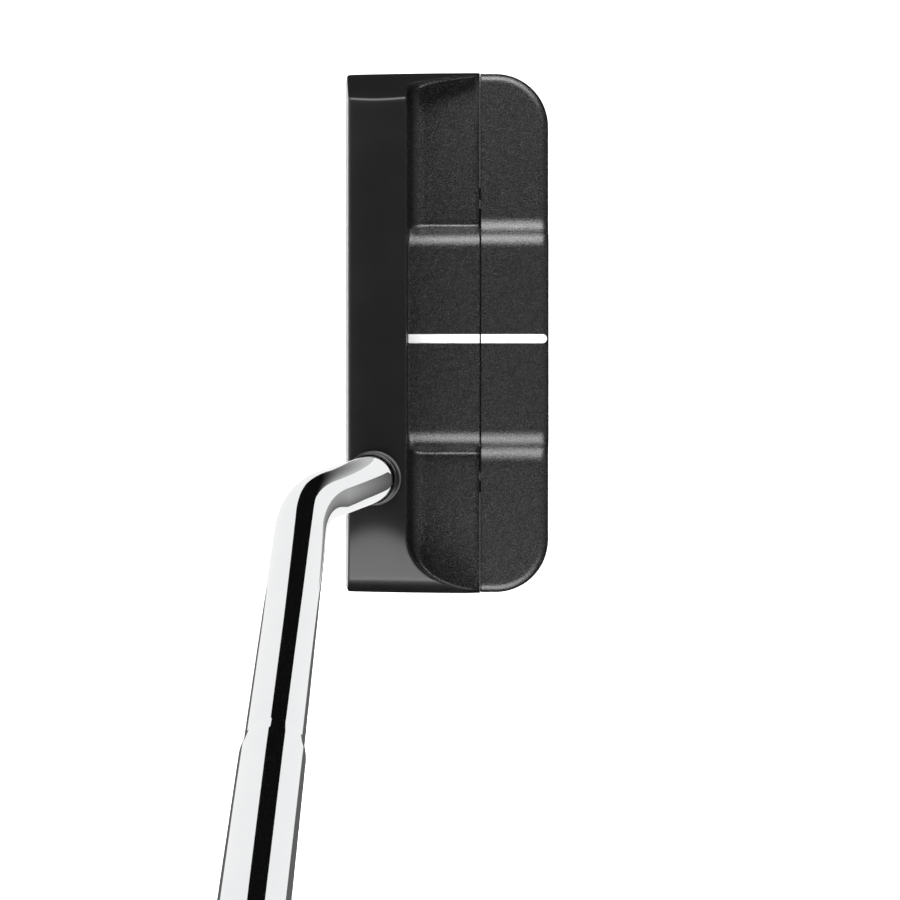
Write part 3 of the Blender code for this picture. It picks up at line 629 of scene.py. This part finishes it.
def buildBody():
    toe, heel = head["toe"], head["heel"]
    half = head["padHalf"]
    foot = half + slopeRun(head["pad"] - head["pocket"], frontSlope)
    # the cuts lie closest where the shape bends
    places = stretch([
        toe, (toe + 0.0026, 24, "start"), (toe + 0.0062, 16, "even"), (toe + 0.0078, 10, "even"),
        (-foot - 0.0004, 24, "even"), (-foot + 0.0005, 8, "even"), (-half, 18, "even"), (half, 24, "even"),
        (foot - 0.0005, 18, "even"), (foot + 0.0004, 8, "even"), (heel - 0.0180, 10, "even"),
        (heel - 0.0100, 18, "even"), (heel - 0.0032, 18, "even"), (heel, 34, "end")])
    sections = [bodySection(x) for x in places]
    rows = len(sections[0])
    taperEnd = head["rear"] - head["rearCorner"]

    def pointAt(column, row):
        x = places[column]
        y, z = sections[column][row]
        away = min(max((taperEnd - y) / (taperEnd - head["front"]), 0), 1)
        reach = heel if x > 0 else toe
        return Vector((x - math.copysign(head["taper"], x) * away ** 2 * abs(x / reach) ** 6, y, z))

    piece = gridPiece("headFront", len(places), rows, pointAt)
    closeEnds(piece)
    piece.data.materials.append(satinPaint.material)
    piece.data.materials.append(blastPaint.material)
    piece.data.materials.append(facePaint.material)
    for face in piece.data.polygons:
        x, y, z = face.center
        inMouth = y > mouthLine(x) - 0.00002 and z < topHeight(x, mouthLine(x)) - head["rimEdge"]
        if inMouth and z > 0.003:
            face.material_index = 1
        elif face.normal.y < -0.99:
            face.material_index = 2
    return piece


def rearReach(x):
    # the rear outline's y at x, with its big round corners
    near = min(x - head["toe"], head["heel"] - x)
    return head["rear"] - roundOver(near, head["rearCorner"])


def fromOutline(x, y):
    corner = head["rearCorner"]
    near = min(x - head["toe"], head["heel"] - x)
    back = head["rear"] - y
    if near < corner and back < corner:
        return corner - math.hypot(corner - near, corner - back)
    return min(near, back)


def rearTop(x, y):
    drop = head["pad"] - head["rearLevel"]
    level = head["pad"] - slopeDrop(abs(x) - head["padHalf"], drop, rearSlope)
    return level - roundOver(fromOutline(x, y), head["edge"])


def rearSection(x):
    start = head["rearStart"]
    lip, foot, sideEdge = head["rearLip"], head["rearFoot"], head["rearEdge"]
    reach = rearReach(x)
    edge = min(head["edge"], (reach - start) * 0.5)
    points = [(start, z) for z in [foot] + between(foot, rearTop(x, start + lip) - lip, 6)]
    flat = [start + lip] + between(start + lip, reach - edge, 26)
    points += [(y, rearTop(x, y)) for y in flat]
    for turn in quarter(10)[1:]:
        y = reach - edge + edge * math.sin(turn)
        points.append((y, rearTop(x, y)))
    side = points[-1][1]
    low = soleRise(x)
    foot = low + sideEdge
    points += [(reach, z) for z in between(side, foot, 7)]
    for turn in quarter(6)[1:]:
        points.append((reach - sideEdge * (1 - math.cos(turn)), foot - sideEdge * math.sin(turn)))
    points += [(y, low) for y in between(reach - sideEdge, start, 8)]
    return points + points[:1]


def buildRear():
    toe, heel = head["toe"], head["heel"]
    half = head["padHalf"]
    foot = half + slopeRun(head["pad"] - head["rearLevel"], rearSlope)
    places = stretch([
        toe, (toe + 0.0014, 14, "start"), (toe + 0.0107, 34, "even"), (-foot - 0.0002, 14, "even"),
        (-half, 30, "even"), (half, 20, "even"), (foot + 0.0002, 30, "even"), (heel - 0.0107, 14, "even"),
        (heel - 0.0014, 34, "even"), (heel, 14, "end")])
    sections = [rearSection(x) for x in places]

    def pointAt(column, row):
        y, z = sections[column][row]
        return Vector((places[column], y, z))

    piece = gridPiece("headRear", len(places), len(sections[0]), pointAt)
    closeEnds(piece)
    blastPaint.on(piece)
    return piece


headFront = buildBody()
print("front part sculpted:", len(headFront.data.polygons), "faces")
headRear = buildRear()
print("rear part sculpted:", len(headRear.data.polygons), "faces")

hosel = {
    "x": 0.0280, "y": -0.0147, "leanHeel": 0.080, "leanForward": 0.226,
    "collarRadius": 0.0054, "collarHeight": 0.0008, "collarRound": 0.00035, "collarRoot": 0.0040,
    "postHeight": 0.0200, "postRadius": 0.0036, "postChamfer": 0.0005,
    "faceGap": 0.0002, "seat": 0.0011, "ringHeight": 0.0010, "ringWall": 0.0003, "ringGap": 0.00015,
}
sole = {
    "tongueHalf": 0.0270, "tongueReach": 0.0201, "tongueDepth": 0.0030, "recess": 0.0042, "gap": 0.0003,
    "screws": ((-0.0210, -0.0161), (0.0210, -0.0161), (-0.0130, -0.0046), (0.0130, -0.0046)),
    "screwRadius": 0.0015, "screwHead": 0.0028, "screwHeadDepth": 0.0016, "screwLength": 0.0088,
    "hexRadius": 0.0010, "clearance": 0.0003, "sunk": 0.0002,
    "dowelX": 0.0298, "dowelRadius": 0.0013, "dowelHalf": 0.0043, "dowelHeight": 0.0052,
}
weight = {
    "fromEdge": 0.0120, "y": -0.0040, "head": 0.0070, "headDepth": 0.0016,
    "shank": 0.0055, "shankLength": 0.0046, "line": (0.0048, 0.0054), "lineDepth": 0.00012,
    "clearance": 0.00015, "sunk": 0.0002, "pinHole": 0.0008, "pinX": 0.0040, "chamfer": 0.0004,
    "ringDepth": 0.0005, "ringWidth": 0.0010, "gap": 0.0003,
}
hoselUp = Vector((hosel["leanHeel"], -hosel["leanForward"], 1)).normalized()
hoselFoot = Vector((hosel["x"], hosel["y"], head["height"]))
hoselPlace = Matrix.Translation(hoselFoot) @ hoselUp.to_track_quat("Z", "Y").to_matrix().to_4x4()
weightPlaces = {
    "toe": Matrix.Translation((head["toe"] + weight["fromEdge"], weight["y"], 0)),
    "heel": Matrix.Translation((head["heel"] - weight["fromEdge"], weight["y"], 0)),
}
screwPlaces = [Matrix.Translation((x, head["joint"] + y, 0)) for x, y in sole["screws"]]


def hoselPost():
    radius, height, bend = hosel["collarRadius"], hosel["collarHeight"], hosel["collarRound"]
    top = height + hosel["postHeight"]
    profile = [(radius, -hosel["collarRoot"])]
    profile += [(radius - bend * (1 - math.cos(a)), height - bend * (1 - math.sin(a))) for a in quarter(5)]
    profile += [(hosel["postRadius"], height), (hosel["postRadius"], top - hosel["postChamfer"])]
    profile += [(hosel["postRadius"] - hosel["postChamfer"], top)]
    post = solidTurned("hoselPost", profile, hoselPlace)
    # the collar's front is cut flat, level with the face
    collarTop = head["height"] + 2 * height + hosel["leanForward"] * radius
    for vertex in post.data.vertices:
        if vertex.co.z < collarTop:
            vertex.co.y = max(vertex.co.y, faceLine(vertex.co.z) + hosel["faceGap"])
    return post


def soleCutters():
    # the tongue's recess, the screw, weight and dowel holes of the front part
    deep = weight["sunk"] + weight["headDepth"] + 2 * weight["gap"] + weight["ringDepth"]
    bottom = -0.001
    half = sole["tongueHalf"] + sole["gap"]
    front = head["joint"] - sole["tongueReach"] - sole["gap"]
    cutters = [block("recess", (-half, front, bottom), (half, head["seam"] + 0.001, sole["recess"]))]
    for place in screwPlaces:
        radius = sole["screwRadius"] + sole["clearance"]
        cutters.append(rod("hole", radius, sole["recess"] - 0.001, sole["screwLength"] + 0.0005, place, 48))
    for place in weightPlaces.values():
        shank = weight["shank"] + weight["clearance"]
        wide = weight["head"] + weight["clearance"]
        top = deep - weight["gap"] + weight["shankLength"]
        profile = [(wide, bottom), (wide, deep), (shank, deep), (shank, top)]
        cutters.append(solidTurned("socket", profile, place, 128))
    return cutters


def dowelCutters():
    turn = Matrix.Rotation(math.radians(90), 4, "X")
    y, z = head["joint"], sole["dowelHeight"]
    places = [Matrix.Translation((side * sole["dowelX"], y, z)) @ turn for side in (-1, 1)]
    radius, half = sole["dowelRadius"], sole["dowelHalf"]
    return [rod("dowelHole", radius, -half, half, place, 32) for place in places]


def joined(pieces):
    deselectAll()
    for piece in pieces:
        piece.select_set(True)
    bpy.context.view_layer.objects.active = pieces[0]
    bpy.ops.object.join()
    return pieces[0]


line = {"groove": 0.0001, "bevel": 0.00012}


def lineBar(name, low, high, roundEnd):
    bar = block(name, low, high)
    switchTo("EDIT")
    bpy.ops.mesh.select_all(action="DESELECT")
    bpy.ops.mesh.select_mode(type="EDGE")
    switchTo("OBJECT")
    if roundEnd:
        for edge in bar.data.edges:
            ends = [bar.data.vertices[i].co for i in edge.vertices]
            edge.select = min(p.y for p in ends) > high[1] - 1e-6 and abs(ends[0].z - ends[1].z) > 1e-5
        switchTo("EDIT")
        bpy.ops.mesh.bevel(offset=(high[0] - low[0]) / 2 * 0.999, segments=10, affect="EDGES")
        switchTo("OBJECT")
    return bar


def topBevel(bar, high, amount):
    # rounds the edges round a piece's flat top
    onlySelect(bar)
    switchTo("EDIT")
    bpy.ops.mesh.select_mode(type="EDGE")
    bpy.ops.mesh.select_all(action="DESELECT")
    switchTo("OBJECT")
    for edge in bar.data.edges:
        ends = [bar.data.vertices[i].co for i in edge.vertices]
        edge.select = min(p.z for p in ends) > high - 1e-6
    switchTo("EDIT")
    bpy.ops.mesh.bevel(offset=amount, segments=3, affect="EDGES")
    switchTo("OBJECT")
    return bar


def grooveBox(node, roundEnd):
    low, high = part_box(node)
    extra = line["groove"]
    start = (low.x - extra, low.y - (0.001 if roundEnd else extra), low.z - extra)
    end = (high.x + extra, high.y + (extra if roundEnd else 0.001), high.z + 0.001)
    return lineBar("groove", start, end, roundEnd)


combine(headFront, hoselPost(), "UNION")
combine(headFront, joined(soleCutters()))
combine(headFront, joined(dowelCutters()))
combine(headFront, grooveBox("sight_line_front", False))
smoothBy(headFront, 38)
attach(headFront, "putter")
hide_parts("head_body")
print("front part cut")

tongueEnd = head["rearStart"] + 0.002
tongue = block("tongue", (-sole["tongueHalf"], head["joint"] - sole["tongueReach"], 0),
               (sole["tongueHalf"], tongueEnd, sole["tongueDepth"]))
combine(headRear, tongue, "UNION")
combine(headRear, joined(dowelCutters()))
combine(headRear, grooveBox("sight_line_rear", True))
sinks = []
for place in screwPlaces:
    narrow = sole["screwRadius"] + sole["clearance"]
    wide = sole["screwHead"] + sole["clearance"]
    profile = [(wide, -0.001), (wide, sole["sunk"]), (narrow, sole["sunk"] + sole["screwHeadDepth"]),
               (narrow, sole["tongueDepth"] + 0.001)]
    sinks.append(solidTurned("sink", profile, place, 96))
combine(headRear, joined(sinks))
smoothBy(headRear, 38)
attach(headRear, "putter")
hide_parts("rear_flange")
print("rear part cut")

linePieces = (("sight_line_front", "sightLineFront", False), ("sight_line_rear", "sightLineRear", True))
for node, name, roundEnd in linePieces:
    low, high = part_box(node)
    bar = topBevel(lineBar(name, low, high, roundEnd), high.z, line["bevel"])
    smoothBy(bar, 35)
    linePaint.on(bar)
    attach(bar, "putter")
    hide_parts(node)


def soleScrew(number, place):
    low, depth = sole["sunk"], sole["screwHeadDepth"]
    radius, wide, length = sole["screwRadius"], sole["screwHead"], sole["screwLength"]
    profile = [(wide - 0.0001, low), (wide, low + 0.0001), (wide, low + 0.0002), (radius, low + depth)]
    profile += [(radius, low + length - 0.3 * radius), (0.7 * radius, low + length)]
    screw = solidTurned("soleScrew%d" % number, profile, place)
    key = solidTurned("key", [(sole["hexRadius"], low - 0.001), (sole["hexRadius"], low + 0.8 * depth),
                              (0.0001, low + 0.8 * depth + 0.0003)], place, 6)
    combine(screw, key)
    smoothBy(screw, 30)
    return screw


for number, place in enumerate(screwPlaces, 1):
    screw = soleScrew(number, place)
    steelPaint.on(screw)
    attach(screw, "putter")
    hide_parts("sole_screw_%d" % number)


def soleWeight(name, place):
    low, chamfer = weight["sunk"], weight["chamfer"]
    shoulder = low + weight["headDepth"]
    top = shoulder + weight["ringDepth"] + weight["shankLength"]
    wide, shank = weight["head"], weight["shank"]
    # a shallow turned line runs round the weight's face
    (inner, outer), sunk = weight["line"], low + weight["lineDepth"]
    bottom = [(inner, low), (inner + 0.0001, sunk), (outer - 0.0001, sunk), (outer, low)]
    profile = bottom + [(wide - chamfer, low), (wide, low + chamfer), (wide, shoulder), (shank, shoulder)]
    profile += [(shank, top - chamfer), (shank - chamfer, top)]
    piece = solidTurned(name, profile, place, 128)
    holes = []
    for side in (-1, 1):
        there = place @ Matrix.Translation((side * weight["pinX"], 0, 0))
        depth = low + 0.8 * weight["headDepth"]
        holes.append(solidTurned("pinHole", [(weight["pinHole"], low - 0.001), (weight["pinHole"], depth),
                                             (0.0001, depth + 0.0002)], there, 40))
    combine(piece, joined(holes))
    smoothBy(piece, 30)
    return piece


def roundedRing(name, inner, outer, low, high, place, sides=96):
    bend = min(outer - inner, high - low) / 2 * 0.95
    corners = [(outer, high, 0), (inner, high, 90), (inner, low, 180), (outer, low, 270)]
    profile = []
    for r, z, start in corners:
        centre = (r - bend if r == outer else r + bend, z - bend if z == high else z + bend)
        for i in range(5):
            a = math.radians(start + 90 * i / 4)
            profile.append((centre[0] + bend * math.cos(a), centre[1] + bend * math.sin(a)))
    return ringTurned(name, profile, place, sides, 40)


for side, place in weightPlaces.items():
    piece = soleWeight(side + "Weight", place)
    weightPaint.on(piece)
    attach(piece, side + "_weight")
    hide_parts(side + "_weight")
    low = weight["sunk"] + weight["headDepth"] + weight["gap"]
    inner = weight["shank"] + weight["clearance"]
    outer, high = inner + weight["ringWidth"], low + weight["ringDepth"]
    ring = roundedRing(side + "WeightRing", inner, outer, low, high, place)
    rubberPaint.on(ring)
    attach(ring, side + "_ring")
    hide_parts(side + "_weight_ring")
print("sole pieces made")


shaft = {
    "clubLength": 0.864, "lie": 70.0, "press": 0.17, "bendHeight": 0.0505, "bendRadius": 0.090,
    "tip": 0.0047, "butt": 0.00735, "wall": 0.0005, "firstStep": 0.104, "spacing": 0.070, "steps": 6,
    "stepLength": 0.0040, "stepRound": 0.00035, "stepLip": 0.00002, "sides": 128, "bendStations": 48,
}
lie, press = math.radians(shaft["lie"]), math.radians(shaft["press"])
shaftUp = Vector((math.cos(lie), -math.sin(press), math.sin(lie))).normalized()
bendPoint = hoselFoot + hoselUp * shaft["bendHeight"] / hoselUp.z
buttDistance = shaft["clubLength"] - bendPoint.z / shaftUp.z
bendAngle = hoselUp.angle(shaftUp)
bendReach = shaft["bendRadius"] * math.tan(bendAngle / 2)
bendAxis = hoselUp.cross(shaftUp).normalized()
bendStart = (bendPoint - hoselFoot).length - bendReach
bendLength = shaft["bendRadius"] * bendAngle
hoselTurn = hoselUp.to_track_quat("Z", "Y").to_matrix()


def alongPath(distance):
    # the middle of the tube and its turn, so far from the topline, measured along the bent middle
    before = min(distance, bendStart)
    turnAngle = bendAngle * min(max((distance - bendStart) / bendLength, 0), 1)
    after = max(distance - bendStart - bendLength, 0)
    inward = bendAxis.cross(hoselUp)
    radius = shaft["bendRadius"]
    point = hoselFoot + hoselUp * (before + radius * math.sin(turnAngle))
    point += inward * radius * (1 - math.cos(turnAngle)) + shaftUp * after
    return point, Matrix.Rotation(turnAngle, 3, bendAxis) @ hoselTurn


def shaftStations():
    # (distance, outside radius) from the foot up; the bend's corner is bendReach past its start
    corner = bendStart + bendLength - bendReach
    grow = (shaft["butt"] - shaft["tip"]) / shaft["steps"]
    stations = [(hosel["seat"], shaft["tip"]), (bendStart, shaft["tip"])]
    for i in range(1, shaft["bendStations"] + 1):
        stations.append((bendStart + bendLength * i / shaft["bendStations"], shaft["tip"]))
    for step in range(shaft["steps"]):
        low = corner + shaft["firstStep"] + shaft["spacing"] * step
        radius = shaft["tip"] + grow * step
        bend = shaft["stepRound"]
        stations.append((low - bend, radius))
        stations.append((low, radius + shaft["stepLip"]))
        stations.append((low + bend, radius + grow * bend / shaft["stepLength"]))
        high = low + shaft["stepLength"]
        stations.append((high - bend, radius + grow * (1 - bend / shaft["stepLength"])))
        stations.append((high, radius + grow - shaft["stepLip"]))
        stations.append((high + bend, radius + grow))
    stations.append((corner + buttDistance, shaft["butt"]))
    return stations


def buildShaft():
    outside = shaftStations()
    inside = [(radius - shaft["wall"], distance) for distance, radius in reversed(outside)]
    profile = [(radius, distance) for distance, radius in outside] + inside
    tube = ringed(turned("chromeShaft", profile + profile[:1], shaft["sides"]))
    for vertex in tube.data.vertices:
        point, turn = alongPath(vertex.co.z)
        vertex.co = point + turn @ Vector((vertex.co.x, vertex.co.y, 0))
    smoothBy(tube, 50)
    return tube


chromeShaft = buildShaft()
chromePaint.on(chromeShaft)
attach(chromeShaft, "putter")
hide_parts("shaft")

ringInner = shaft["tip"] + hosel["ringGap"]
hoselRing = roundedRing("hoselRing", ringInner, ringInner + hosel["ringWall"], hosel["seat"],
                        hosel["seat"] + hosel["ringHeight"], hoselPlace, 128)
plasticPaint.on(hoselRing)
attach(hoselRing, "putter")
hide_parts("hosel_ring")
print("shaft made")


grip = {
    "length": 0.267, "low": 0.0100, "top": 0.0134, "flat": 0.0092, "belly": 0.0022,
    "bore": shaft["butt"] + 0.0006, "stations": 120, "sides": 96, "endRound": 0.0012, "endLength": 0.004,
    "bellyPlace": 0.80, "bellyLength": 0.16, "skin": 0.0010, "capRound": 0.0012, "capLine": (0.0040, 0.0031),
    "swellStart": 0.25, "swellLength": 0.60, "flatCrease": 0.0006,
    "vent": 0.0012, "capDepth": 0.0035, "capPlug": 0.0120, "capInset": 0.0040, "gap": 0.0003,
}


def gripPlace(distance):
    side = Vector((0, 1, 0)).cross(shaftUp).normalized()
    turn = Matrix((-side, shaftUp.cross(-side), shaftUp)).transposed().to_4x4()
    return Matrix.Translation(bendPoint + shaftUp * distance) @ turn


def buildGrip():
    bore, length = grip["bore"], grip["length"]
    profile = [(bore, 0)]
    for i in range(grip["stations"] + 1):
        share = i / grip["stations"]
        swollen = (share - grip["swellStart"]) / grip["swellLength"]
        swell = 0.5 - 0.5 * math.cos(math.pi * min(1, max(0, swollen)))
        ends = grip["endRound"] * max(0, 1 - share * length / grip["endLength"])
        profile.append((grip["low"] + (grip["top"] - grip["low"]) * swell - ends, length * share))
    profile.append((bore, length))
    sleeve = ringed(turned("pistolGrip", profile + profile[:1], grip["sides"]))
    for vertex in sleeve.data.vertices:
        distance = math.hypot(vertex.co.x, vertex.co.y)
        if distance > bore + 0.0005:
            share = vertex.co.z / length
            belly = grip["belly"] * math.exp(-(((share - grip["bellyPlace"]) / grip["bellyLength"]) ** 2))
            flat = max(grip["flat"], bore + grip["skin"]) - grip["skin"] * (1 - share)
            back = max(0.0, -vertex.co.x / distance)
            vertex.co.x = softMin(vertex.co.x, flat, grip["flatCrease"]) - belly * back
    smoothBy(sleeve, 40)
    return setPlace(sleeve, gripPlace(buttDistance - length))


pistolGrip = buildGrip()
gripRubber(shaftUp).on(pistolGrip)
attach(pistolGrip, "putter")
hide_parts("grip")

plugRadius = shaft["butt"] - shaft["wall"] - 0.00015
rim, gap, deep = grip["top"] - grip["capInset"], grip["gap"], grip["capDepth"]
top, bend = gap + deep, grip["capRound"]
outer, inner = grip["capLine"]
capProfile = [(grip["vent"], -grip["capPlug"]), (plugRadius, -grip["capPlug"]), (plugRadius, gap), (rim, gap)]
capProfile += [(rim - bend * (1 - math.cos(a)), top - bend * (1 - math.sin(a))) for a in quarter(6)]
capProfile += [(outer, top), (outer - 0.0003, top - 0.0002), (inner + 0.0003, top - 0.0002), (inner, top)]
capProfile += [(grip["vent"] + 0.0003, top), (grip["vent"], top - 0.0003)]
gripCap = ringTurned("gripCap", capProfile, gripPlace(buttDistance), 96, 30)
plasticPaint.on(gripCap)
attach(gripCap, "putter")
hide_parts("grip_cap")
print("grip made")

# pieces that hide inside the others keep their solids and get their real finishes
hiddenFinishes = {
    "damping_membrane": rubberPaint, "toe_dowel_pin": blastPaint, "heel_dowel_pin": blastPaint,
    "hosel_bond": epoxyPaint, "shaft_tip_plug": corkPaint, "grip_tape": tapePaint,
}
for node, paint in hiddenFinishes.items():
    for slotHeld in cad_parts[node].material_slots:
        slotHeld.material = paint.material


studio = {
    "floorSize": 6.0, "floor": 0.86, "lift": 0.85, "surround": 0.02,
    "boxes": {
        "toeBox": {"place": (-0.90, 0, 0.60), "wide": 1.5, "tall": 0.64, "glow": 8.0},
        "heelBox": {"place": (0.90, 0, 0.66), "wide": 1.5, "tall": 0.84, "glow": 5.6},
        "frontBox": {"place": (0, -1.3, 0.8), "wide": 1.6, "tall": 0.9, "glow": 1.6},
        "rearBox": {"place": (0, 1.3, 0.8), "wide": 1.6, "tall": 0.9, "glow": 0.3},
    },
}


def softBox(name, place, wide, tall, glow):
    # glow is the box's brightness, so that a larger box lights more
    deselectAll()
    bpy.ops.object.light_add(type="AREA", location=place)
    lamp = bpy.context.active_object
    lamp.name = name
    lamp.data.shape = "RECTANGLE"
    lamp.data.size, lamp.data.size_y = wide, tall
    lamp.data.energy = glow * math.pi * wide * tall
    lamp.rotation_euler = (-Vector(place)).to_track_quat("-Z", "Y").to_euler()
    lamp.visible_camera = False
    return lamp


deselectAll()
bpy.ops.mesh.primitive_plane_add(size=studio["floorSize"], location=(0, 0, -0.0002))
floor = settle(rename("floor"))
floorPaint = Paint("paleFloor", {
    "Roughness": 0.9, "Specular IOR Level": 0.1, "Emission Color": (1, 1, 1, 1),
    "Emission Strength": studio["lift"]})
floorPaint.feed("Base Color", floorPaint.shade(
    floorPaint.grain(0.02, 3.0), (studio["floor"] - 0.01,) * 3, (studio["floor"] + 0.01,) * 3))
floorPaint.feed("Alpha", 1.0 - floorPaint.node("ShaderNodeNewGeometry", output="Backfacing"))
floorPaint.on(floor)


def glowPaint(name, ramp, along=(1, 0), curve=1.0):
    # a glowing card, not a lamp, that paints a reflection: its brightness grows along one direction, and it
    # lets rays from below through
    paint = Paint(name, {
        "Roughness": 1.0, "Base Color": (0, 0, 0, 1), "Specular IOR Level": 0.0, "Emission Strength": 1.0})
    start, end, dark, light = ramp
    share = paint.clamp(paint.axis("X") * along[0] + paint.axis("Y") * along[1], start, end) ** curve
    paint.feed("Emission Color", paint.shade(share, (dark,) * 3, (light,) * 3))
    paint.feed("Alpha", 1.0 - paint.node("ShaderNodeNewGeometry", output="Backfacing"))
    return paint


# glowing cards, not lamps, that only reflections see, and only from above: painted reflections that draw the
# head's bright and dark edges
cards = {
    "whiteCard": {"height": 0.0245, "paint": {"ramp": (-1, 1, 0.95, 0.95)}, "outline": (
        (-0.5, -0.4), (0.5, -0.4), (0.5, 0.4), (-0.5, 0.4))},
    "toeCard": {"height": 0.0246, "outline": (
        (-0.40, -0.064), (-0.108, -0.061), (-0.090, -0.058), (-0.073, -0.054), (-0.060, -0.048),
        (-0.046, -0.0425), (-0.020, -0.0385), (-0.004, -0.034), (0.006, -0.030), (0.012, -0.0245),
        (0.017, -0.021), (0.023, -0.0195), (0.023, -0.0145), (0.019, -0.0112), (0.017, -0.009),
        (0.014, -0.0066), (0.004, -0.0072), (-0.003, -0.0062), (-0.009, 0.0), (-0.015, 0.005),
        (-0.022, 0.0115), (-0.030, 0.0165), (-0.043, 0.024), (-0.053, 0.030), (-0.062, 0.037),
        (-0.073, 0.046), (-0.088, 0.057), (-0.100, 0.066), (-0.13, 0.090), (-0.40, 0.25)),
        "paint": {"ramp": (-0.010, 0.008, 0.004, 0.55), "along": (1, 0.9), "curve": 2.0}},
    "footCard": {"height": 0.0246, "outline": (
        (0.0235, 0.0015), (0.0245, -0.0035), (0.0255, -0.0087), (0.031, -0.0095),
        (0.036, -0.0083), (0.041, -0.0085), (0.043, -0.003), (0.042, 0.0015)),
        "paint": {"ramp": (-0.0095, 0.001, 0.08, 0.38), "along": (0, 1)}},
    "edgeCard": {"height": 0.0246, "paint": {"ramp": (0, 1, 0.12, 0.12)}, "outline": (
        (0.040, -0.028), (0.080, -0.030), (0.078, -0.050), (0.048, -0.051), (0.040, -0.055),
        (0.042, -0.062), (0.050, -0.070), (0.070, -0.085), (0.085, -0.12), (0.40, -0.12),
        (0.40, 0.12), (0.080, 0.12), (0.073, 0.070), (0.070, 0.055), (0.067, 0.042),
        (0.063, 0.030), (0.060, 0.020), (0.053, 0.012), (0.047, 0.0), (0.046, -0.006),
        (0.041, -0.014))},
    "darkCard": {"height": 0.0003, "paint": {"ramp": (-1, 1, 0.004, 0.004)}, "outline": (
        (-0.3, -0.08), (-0.056, -0.08), (-0.056, -0.0205), (0.0535, -0.0205), (0.0535, -0.08),
        (0.3, -0.08), (0.3, 0.2), (-0.3, 0.2))},
}
for name, made in cards.items():
    deselectAll()
    bpy.ops.mesh.primitive_circle_add(vertices=len(made["outline"]), radius=1, fill_type="NGON")
    card = rename(name)
    for vertex, (x, y) in zip(card.data.vertices, made["outline"]):
        vertex.co = (x, y, made["height"])
    card.data.update()
    if card.data.polygons[0].normal.z < 0:
        card.data.flip_normals()
    glowPaint(name + "Paint", **made["paint"]).on(card)
    card.visible_camera = card.visible_diffuse = card.visible_shadow = False

for name, box in studio["boxes"].items():
    softBox(name, **box)

surround = bpy.data.worlds.new("surround")
surround.use_nodes = True
bpy.context.scene.world = surround
tree = surround.node_tree
path = tree.nodes.new("ShaderNodeLightPath")
level = tree.nodes.new("ShaderNodeMapRange")
level.inputs["To Min"].default_value = studio["surround"]
level.inputs["To Max"].default_value = 1.0
tree.links.new(path.outputs["Is Camera Ray"], level.inputs["Value"])
tree.links.new(level.outputs["Result"], tree.nodes["Background"].inputs["Strength"])
tree.nodes["Background"].inputs["Color"].default_value = (1, 1, 1, 1)
bpy.context.scene.view_settings.view_transform = "Standard"

view = {"place": (0.0224, 0.0005, 0.675), "lens": 131.64}
deselectAll()
bpy.ops.object.camera_add(location=view["place"], rotation=(0, 0, math.pi / 2))
camera = bpy.context.active_object
camera.name = "camera"
camera.data.lens = view["lens"]
camera.data.sensor_width = 36
camera.data.clip_start = 0.01
bpy.context.scene.camera = camera
print("floor, lights and camera set")
